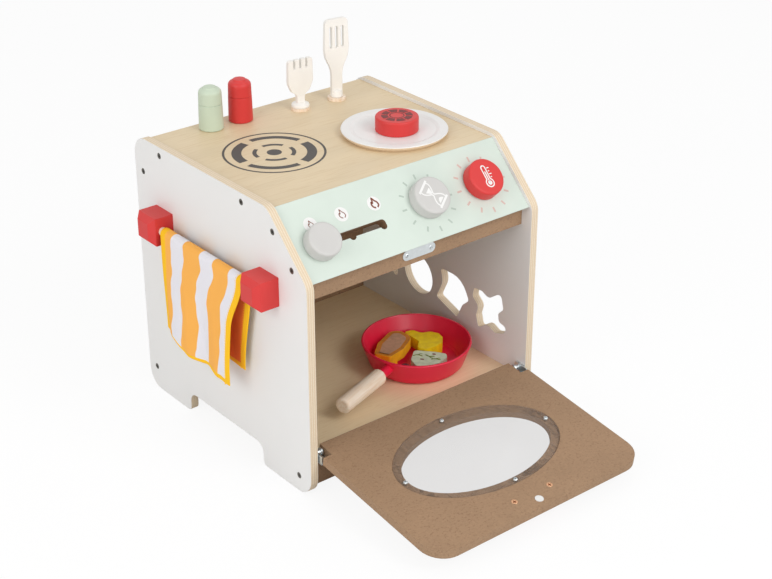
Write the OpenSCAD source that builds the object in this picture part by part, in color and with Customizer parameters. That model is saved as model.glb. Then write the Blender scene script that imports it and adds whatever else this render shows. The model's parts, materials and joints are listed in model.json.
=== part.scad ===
// Table-top toy oven with a drop-down door, knobs, a towel rail, pan, plate and play food.
// X runs across the front, Y from the front to the back and Z up, in millimetres.
// The origin is on the ground, under the middle of the cabinet. The door is drawn open.

/* [Cabinet] */
// Width over the side panels
cab_w = 300; // [290:1:330]
// Depth of the side panels
cab_d = 300; // [290:1:330]
// Height of the side panels
cab_h = 300; // [292:1:320]
// Thickness of a side panel
ply = 9; // [7:0.5:12]
// Thickness of the top and of the control panel
board_t = 12; // [9:0.5:14]
// Thickness of the rail, kick board and door
mdf_t = 9; // [8:0.5:11]
// Thickness of the back panel
back_t = 5; // [3:0.5:8]
// How far the side panels stand proud of the top and the control panel
proud = 3.8; // [2:0.2:6]
// Cut-off front corner, along each edge
bevel = 62; // [58:1:66]
// Radius of the upper rear and the lower corners of a side panel
corner_r = 21; // [8:1:24]
// Radius of the two soft corners at the ends of the bevel
bevel_r = 18; // [6:1:24]
// Width of a foot at the ground
foot_w = 82; // [60:1:100]
// Height of the arch between the feet
arch_h = 24; // [14:1:26]
// Upper face of the oven floor
floor_z = 34.3; // [32:0.1:36]
// Distance of the back panel's rear face from the rear edge of the side panels
back_in = 12; // [8:1:20]
// Height of the back panel's lower edge over the ground
back_z = 10; // [4:1:18]

/* [Control panel and rail] */
// Distance of the control panel's lower edge behind the front edge
lip_y = 4; // [2:0.5:6]
// Distance of the rail's and the kick board's face behind the front edge
rail_y = 14.8; // [14.4:0.1:17]
// Height of the front rail
rail_h = 23; // [18:0.5:28]
// Distance along the slope from the lower edge up to the slot
slot_up = 35; // [32:0.5:38]
// Width of the slot
slot_w = 7.8; // [7:0.1:9]
// Distance between the slot's stations
station_step = 38.5; // [30:0.5:39]
// Distance of the first station from the left end
station_in = 29; // [27:0.5:33]
// Depth of the notch under each station
notch_drop = 3; // [2:0.2:4]

/* [Knobs] */
// Diameter of the two turning knobs
knob_d = 41; // [34:0.5:46]
// Diameter of the slider knob
slider_d = 36; // [30:0.5:40]
// Height of the knobs
knob_h = 14.5; // [12:0.5:20]
// Soft edge round a knob's face
knob_edge = 2.4; // [1:0.2:4]
// Distance of the temperature knob's axis from the right end
dial_in = 43; // [37:0.5:51]
// Distance between the axes of the two turning knobs
dial_pitch = 72; // [60:0.5:78]
// Diameter of a knob's spindle
spindle_d = 5; // [4:0.5:6]

/* [Door] */
// Height of the hinge axis over the ground
pivot_z = 45.3; // [44:0.1:50]
// Distance of the hinge axis behind the front edge
pivot_y = 8; // [7.4:0.1:8.6]
// Gap between the closed door and the control panel over it
door_top_gap = 0.8; // [0.6:0.1:3]
// Distance from the hinge edge to the hinge axis
pivot_edge = 5.9; // [5:0.1:7]
// Gap on each side of the door
door_gap = 2; // [1.8:0.1:3]
// Radius of the free corners
door_corner = 26; // [10:1:32]
// Width of the board beside the window opening
window_side = 48.5; // [40:0.5:60]
// Width of the board between the hinge edge and the window opening
window_foot = 43.8; // [40:0.1:52]
// Width of the board between the window opening and the free edge
window_head = 51.2; // [46:0.1:60]
// Width of the rebate that holds the pane
rebate = 9.5; // [9:0.5:14]
// Thickness of the pane
pane_t = 2.2; // [1.5:0.1:3]
// Length of the door handle
handle_w = 74; // [60:1:100]
// Height of the door handle
handle_h = 16; // [12:0.5:20]
// Depth of the door handle
handle_d = 18; // [14:0.5:19]
// Distance of the handle's screws from the free edge
handle_in = 20.9; // [17:0.1:26]
// Distance between the handle's screws
handle_pitch = 47; // [36:1:54]

/* [Towel rail] */
// Depth of a block, out from the side panel
block_out = 27.5; // [24:0.5:32]
// Width and height of a block
block_w = 31; // [26:0.5:36]
// Bevel of a block's outer edges
block_bevel = 6; // [2:0.5:8]
// Diameter of the rod
rod_d = 9; // [7:0.5:11]
// Distance of the rod's axis from the side panel
rod_out = 13.5; // [12.5:0.5:16]
// Height of the rod over the ground
rod_z = 216; // [200:1:230]
// Distance of the first block's middle behind the front edge
block_y = 60.5; // [50:0.5:64]
// Free length of the rod
rod_free = 156; // [130:1:160]
// Thickness of the towel
towel_t = 1.6; // [1:0.1:2]
// Gap at each end between the towel and a block
towel_end = 5; // [3:0.5:12]
// Length of the towel's front leg below the rod
towel_front = 120; // [80:1:140]
// Length of the towel's rear leg below the rod
towel_rear = 108; // [80:1:130]

/* [Pan and food] */
// Diameter over the rim
pan_d = 122; // [110:1:124]
// Height of the bowl
pan_h = 29; // [24:0.5:32]
// Wall of the bowl
pan_wall = 2.8; // [2:0.1:4]
// Inward slope of the wall, from the rim to the base
pan_taper = 9.8; // [6:0.2:11]
// Height of the handle's axis over the base
pan_grip_up = 19.6; // [17:0.2:22]
// Diameter of the wooden handle
grip_d = 18; // [14:0.5:20]
// Length of the wooden handle
grip_len = 74; // [70:1:90]
// Thickness of the slab and of the leaf slice
food_t = 11; // [9:0.5:12]

/* [Table ware] */
// Diameter of the plate
plate_d = 113.5; // [100:0.5:118]
// Thickness of the plate
plate_t = 6; // [4:0.5:9]
// Diameter of the tomato slice
tomato_d = 46; // [36:1:52]
// Height of the tomato slice
tomato_h = 16; // [12:0.5:20]
// Diameter of a shaker
shaker_d = 26.4; // [22:0.2:30]
// Height of a shaker
shaker_h = 47; // [40:0.5:56]
// Diameter of a utensil's socket ring
ring_d = 20; // [17:0.5:24]
// Height of a socket ring
ring_h = 3.2; // [2.4:0.2:5]
// Height of the fork
fork_h = 54; // [46:0.5:64]
// Height of the spatula
spatula_h = 89; // [80:0.5:100]

/* [Hidden] */
$fn = 72;

// Clearances
same_gap = 0.03;   // between fixed round pieces
run_gap = 0.06;    // between a shaft and its bore
rest_gap = 0.1;    // under a piece that only stands on another
loose_gap = 0.3;   // between moving faces

// Places that follow from the cabinet
in_x = cab_w / 2 - ply;
front = -cab_d / 2;
top_z = cab_h - proud;
face_k = cab_h - bevel - proud * sqrt(2);
edge_y = top_z - face_k;
lip_z = face_k + lip_y;
face_len = (edge_y - lip_y) * sqrt(2);
back_y = cab_d - back_in;
kick_y = rail_y + 0.8;
kick_z = 2.5;
strike_z = lip_z - rail_h / 2;
slot_r = slot_w / 2;
stations = 3;
station_x = in_x - station_in;
temperature_x = in_x - dial_in;
timer_x = temperature_x - dial_pitch;

// Wood screws
screw_r = 1.75;
screw_head_r = 3.4;
screw_head_h = 2.6;
screw_len = 30;
screw_points = [                                   // [y, z] on a side panel
    for (y = [edge_y + 40.5, back_y - 36.5]) [y, top_z - board_t / 2],
    for (z = [26.4, cab_h - 38]) [back_y - back_t / 2, z],
    for (t = [0.25, 0.75]) panel_mid(t * face_len),
    [kick_y + mdf_t / 2, (kick_z + floor_z) / 2]];

// Door, about its hinge axis and in its closed pose
door_half = in_x - door_gap;
door_top = lip_z - door_top_gap - pivot_z;
notch_w = 10.5;
notch_len = 20;
bracket_t = 1.5;
bracket_len = 17.9;
bracket_reach = 22;
pin_r = 2;
window_a = door_half - window_side;
window_b = (door_top + pivot_edge - window_foot - window_head) / 2;
window_z = window_foot + window_b - pivot_edge;
outer_y = -mdf_t / 2;
handle_z = door_top - handle_in;
magnet_z = strike_z - pivot_z;
handle_bevel = 4;
magnet_r = 4.5;
magnet_deep = 3.5;
handle_feet = 0.9;                                 // the open door's handle over the ground
handle_corner = [outer_y - handle_d, handle_z + handle_h / 2 - handle_bevel];
open_angle = 180 + asin((pivot_z - handle_feet) / norm(handle_corner))
    - atan2(handle_corner[1], handle_corner[0]);

// Towel rail
block_mid_y = [front + block_y, front + block_y + rod_free + block_w];
rod_x = -cab_w / 2 - rod_out;
rod_seat = 10;
wrap_r = rod_d / 2 + loose_gap + towel_t / 2;
towel_y0 = block_mid_y[0] + block_w / 2 + towel_end;
towel_y1 = block_mid_y[1] - block_w / 2 - towel_end;

// Loose pieces
pan_y = 100;
pan_side = 9.4;
pan_at = [in_x - pan_d / 2 - pan_side, front + pan_y, floor_z + rest_gap];
pan_turn = 199;                                    // bearing of the handle
pan_base_r = pan_d / 2 - pan_taper;
pan_floor = pan_at[2] + pan_wall;
food_z = pan_floor + rest_gap;
drawn_base_r = 51.2;                               // pan base that the food outlines are drawn for
food_fit = pan_base_r / drawn_base_r;
grip_z = pan_at[2] + pan_grip_up;
stub_r = 5.5;
stub_end = pan_d / 2 + 14.6;
stud_r = 2.5;
stud_in = 28;                                      // the stud inside the handle
wedge_t = 5;
plate_x = 68.8;
plate_y = 137;
plate_at = [plate_x, front + plate_y, top_z + rest_gap];
dish = 1.4;
fork_x = 33;
spatula_x = 82.5;
utensil_y = 254.5;
fork_at = [fork_x, front + utensil_y];
spatula_at = [spatula_x, front + utensil_y];
mint_x = -73.3;
red_x = -35.6;
shaker_y = 269;
mint_at = [mint_x, front + shaker_y];
red_at = [red_x, front + shaker_y];
fork_turn = -5;
spatula_turn = -9;
utensil_t = 4.2;
peg_len = 2.6;

// Colours
white = "#e8e8e6";
wood = "#dcc09a";
brown = "#a37f63";
red = "#dc3a38";
mint = "#d2e2d6";
grey = "#cac9c7";
steel = "#b8bcc0";

// Middle of the control panel's thickness, t millimetres up the slope from its lower edge
function panel_mid(t) =
    [lip_y + (t + board_t / 2) / sqrt(2), lip_z + (t - board_t / 2) / sqrt(2)];

// Points of a fillet of radius r at corner b of the path a, b, c
function fillet(a, b, c, r, n = 6) =
    let (u = (a - b) / norm(a - b), v = (c - b) / norm(c - b),
        half = acos(u * v) / 2, m = (u + v) / norm(u + v),
        o = b + m * r / sin(half),
        p = b + u * r / tan(half) - o, q = b + v * r / tan(half) - o,
        sweep = 180 - 2 * half, turn = sign(p[0] * q[1] - p[1] * q[0]))
    [for (i = [0:n]) let (k = turn * sweep * i / n)
        o + [p[0] * cos(k) - p[1] * sin(k), p[0] * sin(k) + p[1] * cos(k)]];

// Closed outline through corners [x, y, radius]
function rounded(c, n = 6) = let (k = len(c))
    [for (i = [0:k - 1]) let (p = c[(i + k - 1) % k], q = c[i], s = c[(i + 1) % k])
        each fillet([p[0], p[1]], [q[0], q[1]], [s[0], s[1]], q[2], n)];

function ellipse(a, b, n = 72) = [for (i = [0:n - 1]) [a * cos(360 * i / n), b * sin(360 * i / n)]];

// Placing helpers
module at_front() translate([0, front, 0]) children();
// A flat shape drawn in [y, z], standing across the cabinet from x0 to x1
module across(x0, x1)
    translate([x0, 0, 0]) rotate([90, 0, 90]) linear_extrude(x1 - x0) children();
// A flat shape drawn in [x, z], from y0 to y1
module facing(y0, y1)
    translate([0, y1, 0]) rotate([90, 0, 0]) linear_extrude(y1 - y0) children();
// Things drawn on the sloping face: x across, y up the slope from the lower edge, z outwards
module on_face() translate([0, front + lip_y, lip_z]) rotate([45, 0, 0]) children();
// The door hangs about its axis, opened
module hung() translate([0, front + pivot_y, pivot_z]) rotate([open_angle, 0, 0]) children();
module both_sides() for (s = [-1, 1]) scale_x(s) children();
module scale_x(s) if (s < 0) mirror([1, 0, 0]) children(); else children();

// A countersunk screw that points down from z = 0; grow makes its hole
module countersunk(head_r, head_h, r, len, grow = 0)
    rotate_extrude() polygon([[0, grow > 0 ? 1 : 0], if (grow > 0) [head_r + grow, 1],
        [head_r + grow, 0], [r + grow, -head_h], [r + grow, -len - grow], [0, -len - grow]]);
// A round-headed screw that points down from its head's seat at z = 0
module pan_screw(head_r, head_h, r, len) {
    rotate_extrude() polygon([[0, -len], [r, -len], [r, 0], [head_r, 0],
        [head_r, head_h * 0.45], [head_r * 0.75, head_h * 0.9], [head_r * 0.4, head_h],
        [0, head_h]]);
}
module side_screws(grow = 0) at_front() for (p = screw_points)
    translate([cab_w / 2, p[0], p[1]]) rotate([0, 90, 0])
        countersunk(screw_head_r, screw_head_h, screw_r, screw_len, grow);
module block_screws(grow = 0) for (i = [0, 1])
    translate([-in_x, block_mid_y[i] + (i == 0 ? -5 : 5), rod_z]) rotate([0, 90, 0])
        countersunk(screw_head_r, screw_head_h, screw_r, ply + block_out - 6, grow);

// Side panels
function side_outline() = rounded([[0, 0, corner_r], [0, cab_h - bevel, bevel_r],
    [bevel, cab_h, bevel_r], [cab_d, cab_h, corner_r], [cab_d, 0, corner_r],
    [cab_d - foot_w, 0, 6], [cab_d - foot_w, arch_h, 11], [foot_w, arch_h, 11],
    [foot_w, 0, 6]]);
module side_board() difference() {
    at_front() across(in_x, cab_w / 2) polygon(side_outline());
    side_screws(same_gap);
    at_front() translate([in_x - 1, pivot_y, pivot_z]) rotate([0, 90, 0])
        cylinder(r = pin_r + same_gap, h = ply - 1);
}
module left_side_panel() color(white) difference() {
    mirror([1, 0, 0]) side_board();
    block_screws(same_gap);
}
// Cut-outs through the right side panel, in [y, z] from its lower front corner
hole_outlines = [
    rounded([[61.5, 106, 9], [72, 111, 5], [85.5, 110.5, 3.5], [87.5, 98.5, 4], [77.5, 90, 7],
        [81, 78, 5], [77, 63.5, 3], [62.5, 74, 9], [50, 68, 7], [36, 73, 4], [30.5, 81.5, 4],
        [44, 84.5, 4], [45.5, 94, 4], [37.5, 102, 3], [41.5, 118.5, 4], [50, 115, 6]], 4),
    rounded([[113, 62, 2.5], [104, 81, 10], [93.5, 90, 4], [106, 113, 26], [143, 113, 4],
        [137, 98, 18], [148.5, 74, 3]], 4),
    [for (p = ellipse(25.5, 23.5, 36)) [p[0] * cos(36) - p[1] * sin(36),
        p[0] * sin(36) + p[1] * cos(36)] + [180.7, 90.7]],
    rounded([[218, 66, 4], [218, 118, 4], [264, 118, 4]], 4)];
module right_side_panel() color(white) difference() {
    side_board();
    at_front() across(in_x - 1, cab_w / 2 + 1) for (p = hole_outlines) polygon(p);
}
module right_side_screws() color(steel) side_screws();
module left_side_screws() color(steel) mirror([1, 0, 0]) side_screws();
module pilot_holes() both_sides() side_screws(same_gap);

// Boards between the side panels
module mitre_boards(p) difference() {
    at_front() across(-in_x, in_x) polygon(p);
    pilot_holes();
}
mitre_y = edge_y + board_t * tan(22.5);
module top_panel() color(wood) mitre_boards([[edge_y, top_z], [mitre_y, top_z - board_t],
    [back_y, top_z - board_t], [back_y, top_z]]);
module control_panel() color(mint) difference() {
    mitre_boards([[edge_y, top_z], [lip_y, lip_z], [lip_y + board_t * sqrt(2), lip_z],
        [mitre_y, top_z - board_t]]);
    on_face() translate([0, 0, -board_t - 1]) {
        for (x = [timer_x, temperature_x])
            translate([x, face_len / 2, 0]) cylinder(d = spindle_d + 2 * run_gap, h = board_t + 2);
        translate([-station_x, slot_up - slot_r, 0])
            cube([(stations - 1) * station_step, slot_w, board_t + 2]);
        for (i = [0:stations - 1]) translate([i * station_step - station_x, slot_up, 0])
            drop_hole(slot_r, board_t + 2);
    }
}
module back_panel() color(brown) difference() {
    at_front() across(-in_x, in_x) translate([back_y - back_t, back_z])
        square([back_t, top_z - board_t - back_z]);
    pilot_holes();
}
module oven_floor() color(wood) at_front() across(-in_x, in_x)
    translate([kick_y + mdf_t, floor_z - mdf_t])
        square([back_y - back_t - kick_y - mdf_t, mdf_t]);
module kick_board() color(brown) difference() {
    at_front() across(-in_x, in_x) translate([kick_y, kick_z]) square([mdf_t, floor_z - kick_z]);
    pilot_holes();
}
strike_pitch = 31;
strike_t = 1.2;
strike_w = 42;
strike_h = 11;
module strike_places() at_front() for (s = [-1, 1])
    translate([s * strike_pitch / 2, rail_y, strike_z]) rotate([90, 0, 0]) children();
module front_rail() color(brown) difference() {
    at_front() across(-in_x, in_x) translate([rail_y, lip_z - rail_h]) square([mdf_t, rail_h]);
    strike_places() translate([0, 0, -7]) cylinder(r = 1 + same_gap, h = 8);
}
module strike_plate() color(steel) difference() {
    at_front() facing(rail_y - strike_t, rail_y) translate([0, strike_z]) union() {
        square([strike_w - strike_h, strike_h], center = true);
        for (s = [-1, 1]) translate([s * (strike_w - strike_h) / 2, 0]) circle(d = strike_h);
    }
    strike_places() translate([0, 0, -1]) cylinder(r = 1 + same_gap, h = strike_t + 2);
}
module strike_screws() color(steel) strike_places() translate([0, 0, strike_t])
    pan_screw(2.6, 0.5, 1, strike_t + 6);

// Hinge pivots: a screw in each side panel, its collar and a washer at the panel
pin_head_x = door_half - notch_w + 1.2;
leg_x = door_half + 0.5 - bracket_t;               // inner face of the bracket's upright leg
module pivot_screws() color(steel) both_sides() at_front() translate([0, pivot_y, pivot_z])
    rotate([0, 90, 0]) rotate_extrude() polygon([[0, pin_head_x], [2.6, pin_head_x],
        [4, pin_head_x + 1.2], [4.2, pin_head_x + 2.6], [4.2, pin_head_x + 3], [3, pin_head_x + 3],
        [3, leg_x - 0.2], [pin_r, leg_x - 0.2], [pin_r, in_x + ply - 2], [0, in_x + ply - 2]]);
module pivot_washers() color(steel) both_sides() at_front()
    translate([leg_x + bracket_t + 0.1, pivot_y, pivot_z]) rotate([0, 90, 0]) difference() {
        cylinder(r = 4.5, h = in_x - leg_x - bracket_t - 0.1);
        translate([0, 0, -1]) cylinder(r = pin_r + same_gap, h = door_gap + 2);
    }

// Door
module door_outline() difference() {
    polygon(rounded([[-door_half, -pivot_edge, 0.5], [door_half, -pivot_edge, 0.5],
        [door_half, door_top, door_corner], [-door_half, door_top, door_corner]], 9));
    for (s = [-1, 1]) translate([s * (door_half - notch_w / 2 + 1), notch_len / 2 - pivot_edge - 1])
        square([notch_w + 2, notch_len + 2], center = true);
}
module window_places() for (k = [0:3])
    translate([(window_a + rebate * 0.45) * [1, 0, -1, 0][k], mdf_t / 2,
        window_z + (window_b + rebate * 0.6) * [0, 1, 0, -1][k]]) rotate([-90, 0, 0]) children();
module handle_places() for (s = [-1, 1])
    translate([s * handle_pitch / 2, mdf_t / 2, handle_z]) rotate([-90, 0, 0]) children();
module bracket_places() both_sides() for (z = [0, 8])
    translate([door_half - notch_w - 5.5, outer_y, z]) rotate([90, 0, 0]) children();
module door_panel() color(brown) hung() difference() {
    facing(outer_y, mdf_t / 2) door_outline();
    facing(outer_y - 1, mdf_t / 2 + 1) translate([0, window_z]) polygon(ellipse(window_a, window_b));
    facing(mdf_t / 2 - pane_t, mdf_t / 2 + 1) translate([0, window_z])
        polygon(ellipse(window_a + rebate, window_b + rebate + 1));
    window_places() translate([0, 0, -pane_t - 5]) cylinder(r = 1 + same_gap, h = 8);
    handle_places() countersunk(screw_head_r, screw_head_h, screw_r, mdf_t + 1, same_gap);
    bracket_places() translate([0, 0, -6]) cylinder(r = 1 + same_gap, h = 8);
    translate([0, mdf_t / 2 - magnet_deep, magnet_z]) rotate([-90, 0, 0])
        cylinder(r = magnet_r + same_gap, h = 5);
}
module door_window() color("#dfe8ee", 0.4) hung() difference() {
    facing(mdf_t / 2 - pane_t, mdf_t / 2) translate([0, window_z])
        polygon(ellipse(window_a + rebate - 0.3, window_b + rebate + 0.7));
    window_places() translate([0, 0, -pane_t - 1]) cylinder(r = 1 + same_gap, h = pane_t + 2);
}
module window_screws() color(steel) hung() window_places() pan_screw(2.5, 1.3, 1, pane_t + 4.5);
module hinge_bracket() hung() difference() {
    translate([0, 0, bracket_len / 2 - pivot_edge + 0.6]) {
        translate([leg_x + bracket_t / 2, -bracket_t / 2, 0])
            cube([bracket_t, mdf_t + bracket_t - 0.4, bracket_len], center = true);
        translate([leg_x + bracket_t - bracket_reach / 2, outer_y - bracket_t / 2, 0])
            cube([bracket_reach, bracket_t, bracket_len], center = true);
    }
    translate([leg_x - 1, 0, 0]) rotate([0, 90, 0]) cylinder(r = pin_r + run_gap, h = bracket_t + 2);
    bracket_places() translate([0, 0, -1]) cylinder(r = 1 + same_gap, h = bracket_t + 2);
}
module right_hinge_bracket() color(steel) hinge_bracket();
module left_hinge_bracket() color(steel) mirror([1, 0, 0]) hinge_bracket();
module bracket_screws() color(steel) hung() bracket_places() translate([0, 0, bracket_t])
    pan_screw(2.2, 1, 1, bracket_t + 5);
module door_magnet() color(white) hung() translate([0, mdf_t / 2 - magnet_deep, magnet_z])
    rotate([-90, 0, 0]) cylinder(r = magnet_r, h = magnet_deep + 0.5);
module door_handle() color(red) hung() difference() {
    translate([0, outer_y, handle_z]) rotate([90, 0, 0]) intersection() {
        translate([0, -handle_h / 2, 0]) rotate([-90, 0, 0]) linear_extrude(handle_h)
            polygon(bevelled(handle_w, -handle_d, handle_bevel));
        translate([-handle_w / 2, 0, 0]) rotate([90, 0, 90]) linear_extrude(handle_w)
            polygon(bevelled(handle_h, handle_d, handle_bevel));
    }
    handle_places() translate([0, 0, -mdf_t - 13]) cylinder(r = screw_r + same_gap, h = 14);
}
module handle_screws() color(steel) hung() handle_places()
    countersunk(screw_head_r, screw_head_h, screw_r, mdf_t + 12);
// A width w drawn from y = 0 to y = d, with its two far corners cut off
function bevelled(w, d, c) = [[-w / 2, 0], [w / 2, 0], [w / 2, d - sign(d) * c],
    [w / 2 - c, d], [c - w / 2, d], [-w / 2, d - sign(d) * c]];

// Knobs on the sloping face
module knob(d, bore_d) difference() {
    rotate_extrude() polygon([[0, loose_gap], [d / 2 - 1, loose_gap], [d / 2, loose_gap + 1],
        [d / 2, knob_h - knob_edge],
        for (a = [15:15:75]) [d / 2 - knob_edge * (1 - cos(a)), knob_h - knob_edge * (1 - sin(a))],
        [d / 2 - knob_edge, knob_h], [0, knob_h]]);
    cylinder(d = bore_d + 2 * same_gap, h = knob_h - 5);
}
module at_knob(x) on_face() translate([x, face_len / 2, 0]) children();
module spindle(tail) translate([0, 0, -board_t - tail])
    cylinder(d = spindle_d, h = board_t + tail + knob_h - 5);
module flange_nut() translate([0, 0, -board_t - loose_gap]) difference() {
    union() {
        translate([0, 0, -1.2]) cylinder(r = 7, h = 1.2);
        translate([0, 0, -5]) cylinder(r = 4.6, h = 5, $fn = 6);
    }
    translate([0, 0, -6]) cylinder(d = spindle_d + 2 * same_gap, h = 8);
}
module timer_knob() color(grey) at_knob(timer_x) knob(knob_d, spindle_d);
module timer_spindle() color(steel) at_knob(timer_x) spindle(7);
module timer_nut() color(steel) at_knob(timer_x) flange_nut();
module temperature_knob() color(red) at_knob(temperature_x) knob(knob_d, spindle_d);
module temperature_spindle() color(steel) at_knob(temperature_x) spindle(7);
module temperature_nut() color(steel) at_knob(temperature_x) flange_nut();
stem_r = slot_r - 0.4;
retainer_t = 3;
retainer_back = -board_t - loose_gap - retainer_t;
module at_slider() on_face() translate([-station_x, slot_up, 0]) children();
module slider_knob() color(grey) at_slider() knob(slider_d, 2 * stem_r);
module slider_stem() color(wood) at_slider() {
    translate([0, 0, retainer_back - loose_gap])
        cylinder(r = stem_r, h = knob_h - 5 - retainer_back + loose_gap);
    translate([0, 0, retainer_back - loose_gap - 2.5]) cylinder(r = stem_r + 3, h = 2.5);
}
module slider_retainer() color(wood) at_slider() translate([0, 0, retainer_back]) difference() {
    drop_hole(stem_r + 7, retainer_t);
    translate([0, 0, -1]) drop_hole(stem_r + run_gap, retainer_t + 2);
}
// A long hole or its outline, as deep down the slope as a notch
module drop_hole(r, h) linear_extrude(h) union() {
    circle(r);
    translate([-r, -notch_drop]) square([2 * r, notch_drop]);
    translate([0, -notch_drop]) circle(r);
}

// Towel rail
module towel_block(i) color(red) difference() {
    translate([-cab_w / 2, block_mid_y[i], rod_z]) intersection() {
        translate([0, 0, -block_w / 2]) linear_extrude(block_w) rotate(90)
            polygon(bevelled(block_w, block_out, block_bevel));
        translate([0, block_w / 2, 0]) rotate([90, 0, 0]) linear_extrude(block_w) rotate(90)
            polygon(bevelled(block_w, block_out, block_bevel));
    }
    rod(same_gap);
    block_screws(same_gap);
}
module rod(grow = 0) translate([rod_x, block_mid_y[0] + block_w / 2 - rod_seat, rod_z])
    rotate([-90, 0, 0]) cylinder(d = rod_d + 2 * grow, h = rod_free + 2 * rod_seat);
module front_towel_block() towel_block(0);
module rear_towel_block() towel_block(1);
module towel_rod() color(wood) rod();
module towel_block_screws() color(steel) block_screws();

// Towel: one sheet that goes up the outer side, over the rod and down by the panel.
// A station gives [x, z] on the middle of the sheet, its outward direction and how far
// along its leg it lies, from 0 at the rod to 1 at the hem, negative on the rear leg.
leg_steps = 10;
wrap_steps = 8;
cloth_steps = 20;
function eased(k) = k * k * (3 - 2 * k);
stations_front = [for (i = [0:leg_steps - 1]) let (k = 1 - i / leg_steps)
    [[rod_x - wrap_r - 5 * eased(k), rod_z - k * towel_front], [-1, 0], k]];
stations_wrap = [for (i = [0:wrap_steps]) let (a = 180 - 180 * i / wrap_steps)
    [[rod_x, rod_z] + wrap_r * [cos(a), sin(a)], [cos(a), sin(a)], 0]];
stations_rear = [for (i = [1:leg_steps]) let (k = i / leg_steps)
    [[rod_x + wrap_r, rod_z - k * towel_rear], [1, 0], -k]];
towel_path = concat(stations_front, stations_wrap, stations_rear);
// Folds grow towards the hem, and the front leg draws in, more at its front edge
function fold(k, v) = k >= 0
    ? eased(k) * (3.4 * sin(360 * 1.6 * v + 40) + 1.1 * sin(360 * 3.3 * v + 150 * k))
    : eased(-k) * (0.7 * sin(360 * 1.4 * v - 60) + 0.8);
function towel_y(k, v) = let (in0 = k >= 0 ? 17 * eased(min(1, 2.2 * k)) : 16 * eased(-k),
        in1 = k >= 0 ? 4.5 * eased(k) : 3 * eased(-k))
    (towel_y0 + in0) * (1 - v) + (towel_y1 - in1) * v;
// The rear lower corner of the front leg is caught up a little
function rise(k, v) = k > 0 && v > 0.55 ? 13 * eased(k) * eased((v - 0.55) / 0.45) : 0;
function cloth_point(s, v, side) = let (d = fold(s[2], v) + side * towel_t / 2,
        p = s[0] + s[1] * d) [p[0], towel_y(s[2], v), p[1] + rise(s[2], v)];
module towel() color("#f2c27a") {
    m = len(towel_path);
    n = cloth_steps + 1;
    points = [for (side = [1, -1], s = towel_path, j = [0:cloth_steps])
        cloth_point(s, j / cloth_steps, side)];
    far = m * n;
    strips = [for (i = [0:m - 2], j = [0:cloth_steps - 1]) let (a = i * n + j)
        each [[a, a + 1, a + n], [a + 1, a + n + 1, a + n],
            [far + a, far + a + n, far + a + 1], [far + a + 1, far + a + n, far + a + n + 1]]];
    sides = [for (i = [0:m - 2], e = [0, cloth_steps]) let (a = i * n + e)
        each (e == 0 ? [[a, a + n, far + a], [a + n, far + a + n, far + a]]
            : [[a, far + a, a + n], [a + n, far + a, far + a + n]])];
    hems = [for (j = [0:cloth_steps - 1], e = [0, (m - 1) * n]) let (a = e + j)
        each (e == 0 ? [[a, far + a, a + 1], [a + 1, far + a, far + a + 1]]
            : [[a, a + 1, far + a], [a + 1, far + a + 1, far + a]])];
    polyhedron(points, concat(strips, sides, hems), convexity = 6);
}

// Utensils and their socket rings
fork_peg_r = 3;
spatula_peg_r = 6.2;
module socket(at, peg_r) color(wood) translate([at[0], at[1], top_z]) difference() {
    cylinder(d = ring_d, h = ring_h);
    translate([0, 0, -1]) cylinder(r = peg_r + run_gap, h = ring_h + 2);
}
module fork_socket() socket(fork_at, fork_peg_r);
module spatula_socket() socket(spatula_at, spatula_peg_r);
module stood(at, turn) translate([at[0], at[1], top_z + ring_h + rest_gap]) rotate(turn) children();
module slots(xs, w, z0, z1) for (x = xs) translate([x, 0]) {
    translate([-w / 2, z0]) square([w, z1 - z0]);
    for (z = [z0, z1]) translate([0, z]) circle(w / 2, $fn = 24);
}
module fork() color(white) stood(fork_at, fork_turn) {
    rotate_extrude() polygon([[0, -peg_len], [fork_peg_r, -peg_len], [fork_peg_r, 0],
        [ring_d / 2 - 0.4, 0], [ring_d / 2, 1.5], [ring_d / 2 - 0.6, 3.4], [5.5, 5], [0, 5]]);
    facing(-utensil_t / 2, utensil_t / 2) difference() {
        polygon(rounded([[-4.8, 3, 0.2], [-4.8, fork_h - 40, 5], [-11, fork_h - 36, 6],
            [-15.6, fork_h - 26, 12], [-15, fork_h, 3], [15, fork_h, 3], [15.6, fork_h - 26, 12],
            [11, fork_h - 36, 6], [4.8, fork_h - 40, 5], [4.8, 3, 0.2]], 7));
        slots([-7.6, 0, 7.6], 2.4, fork_h - 9, fork_h + 4);
    }
}
module spatula() color(white) stood(spatula_at, spatula_turn) {
    rotate_extrude() polygon([[0, -peg_len], [spatula_peg_r, -peg_len], [spatula_peg_r, 0],
        [6.9, 0.6], [6.5, 3], [5.4, 7], [0, 8]]);
    facing(-utensil_t / 2, utensil_t / 2) difference() {
        polygon(rounded([[-6.6, 2, 0.2], [-6.3, 31, 30], [-14.2, 47, 26],
            [-14.9, spatula_h - 32, 40], [-13.6, spatula_h, 5], [13.6, spatula_h, 5],
            [14.9, spatula_h - 32, 40], [14.2, 47, 26], [6.3, 31, 30], [6.6, 2, 0.2]], 7));
        slots([-7.2, 0, 7.2], 3.4, spatula_h - 31, spatula_h - 10);
    }
}

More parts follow.
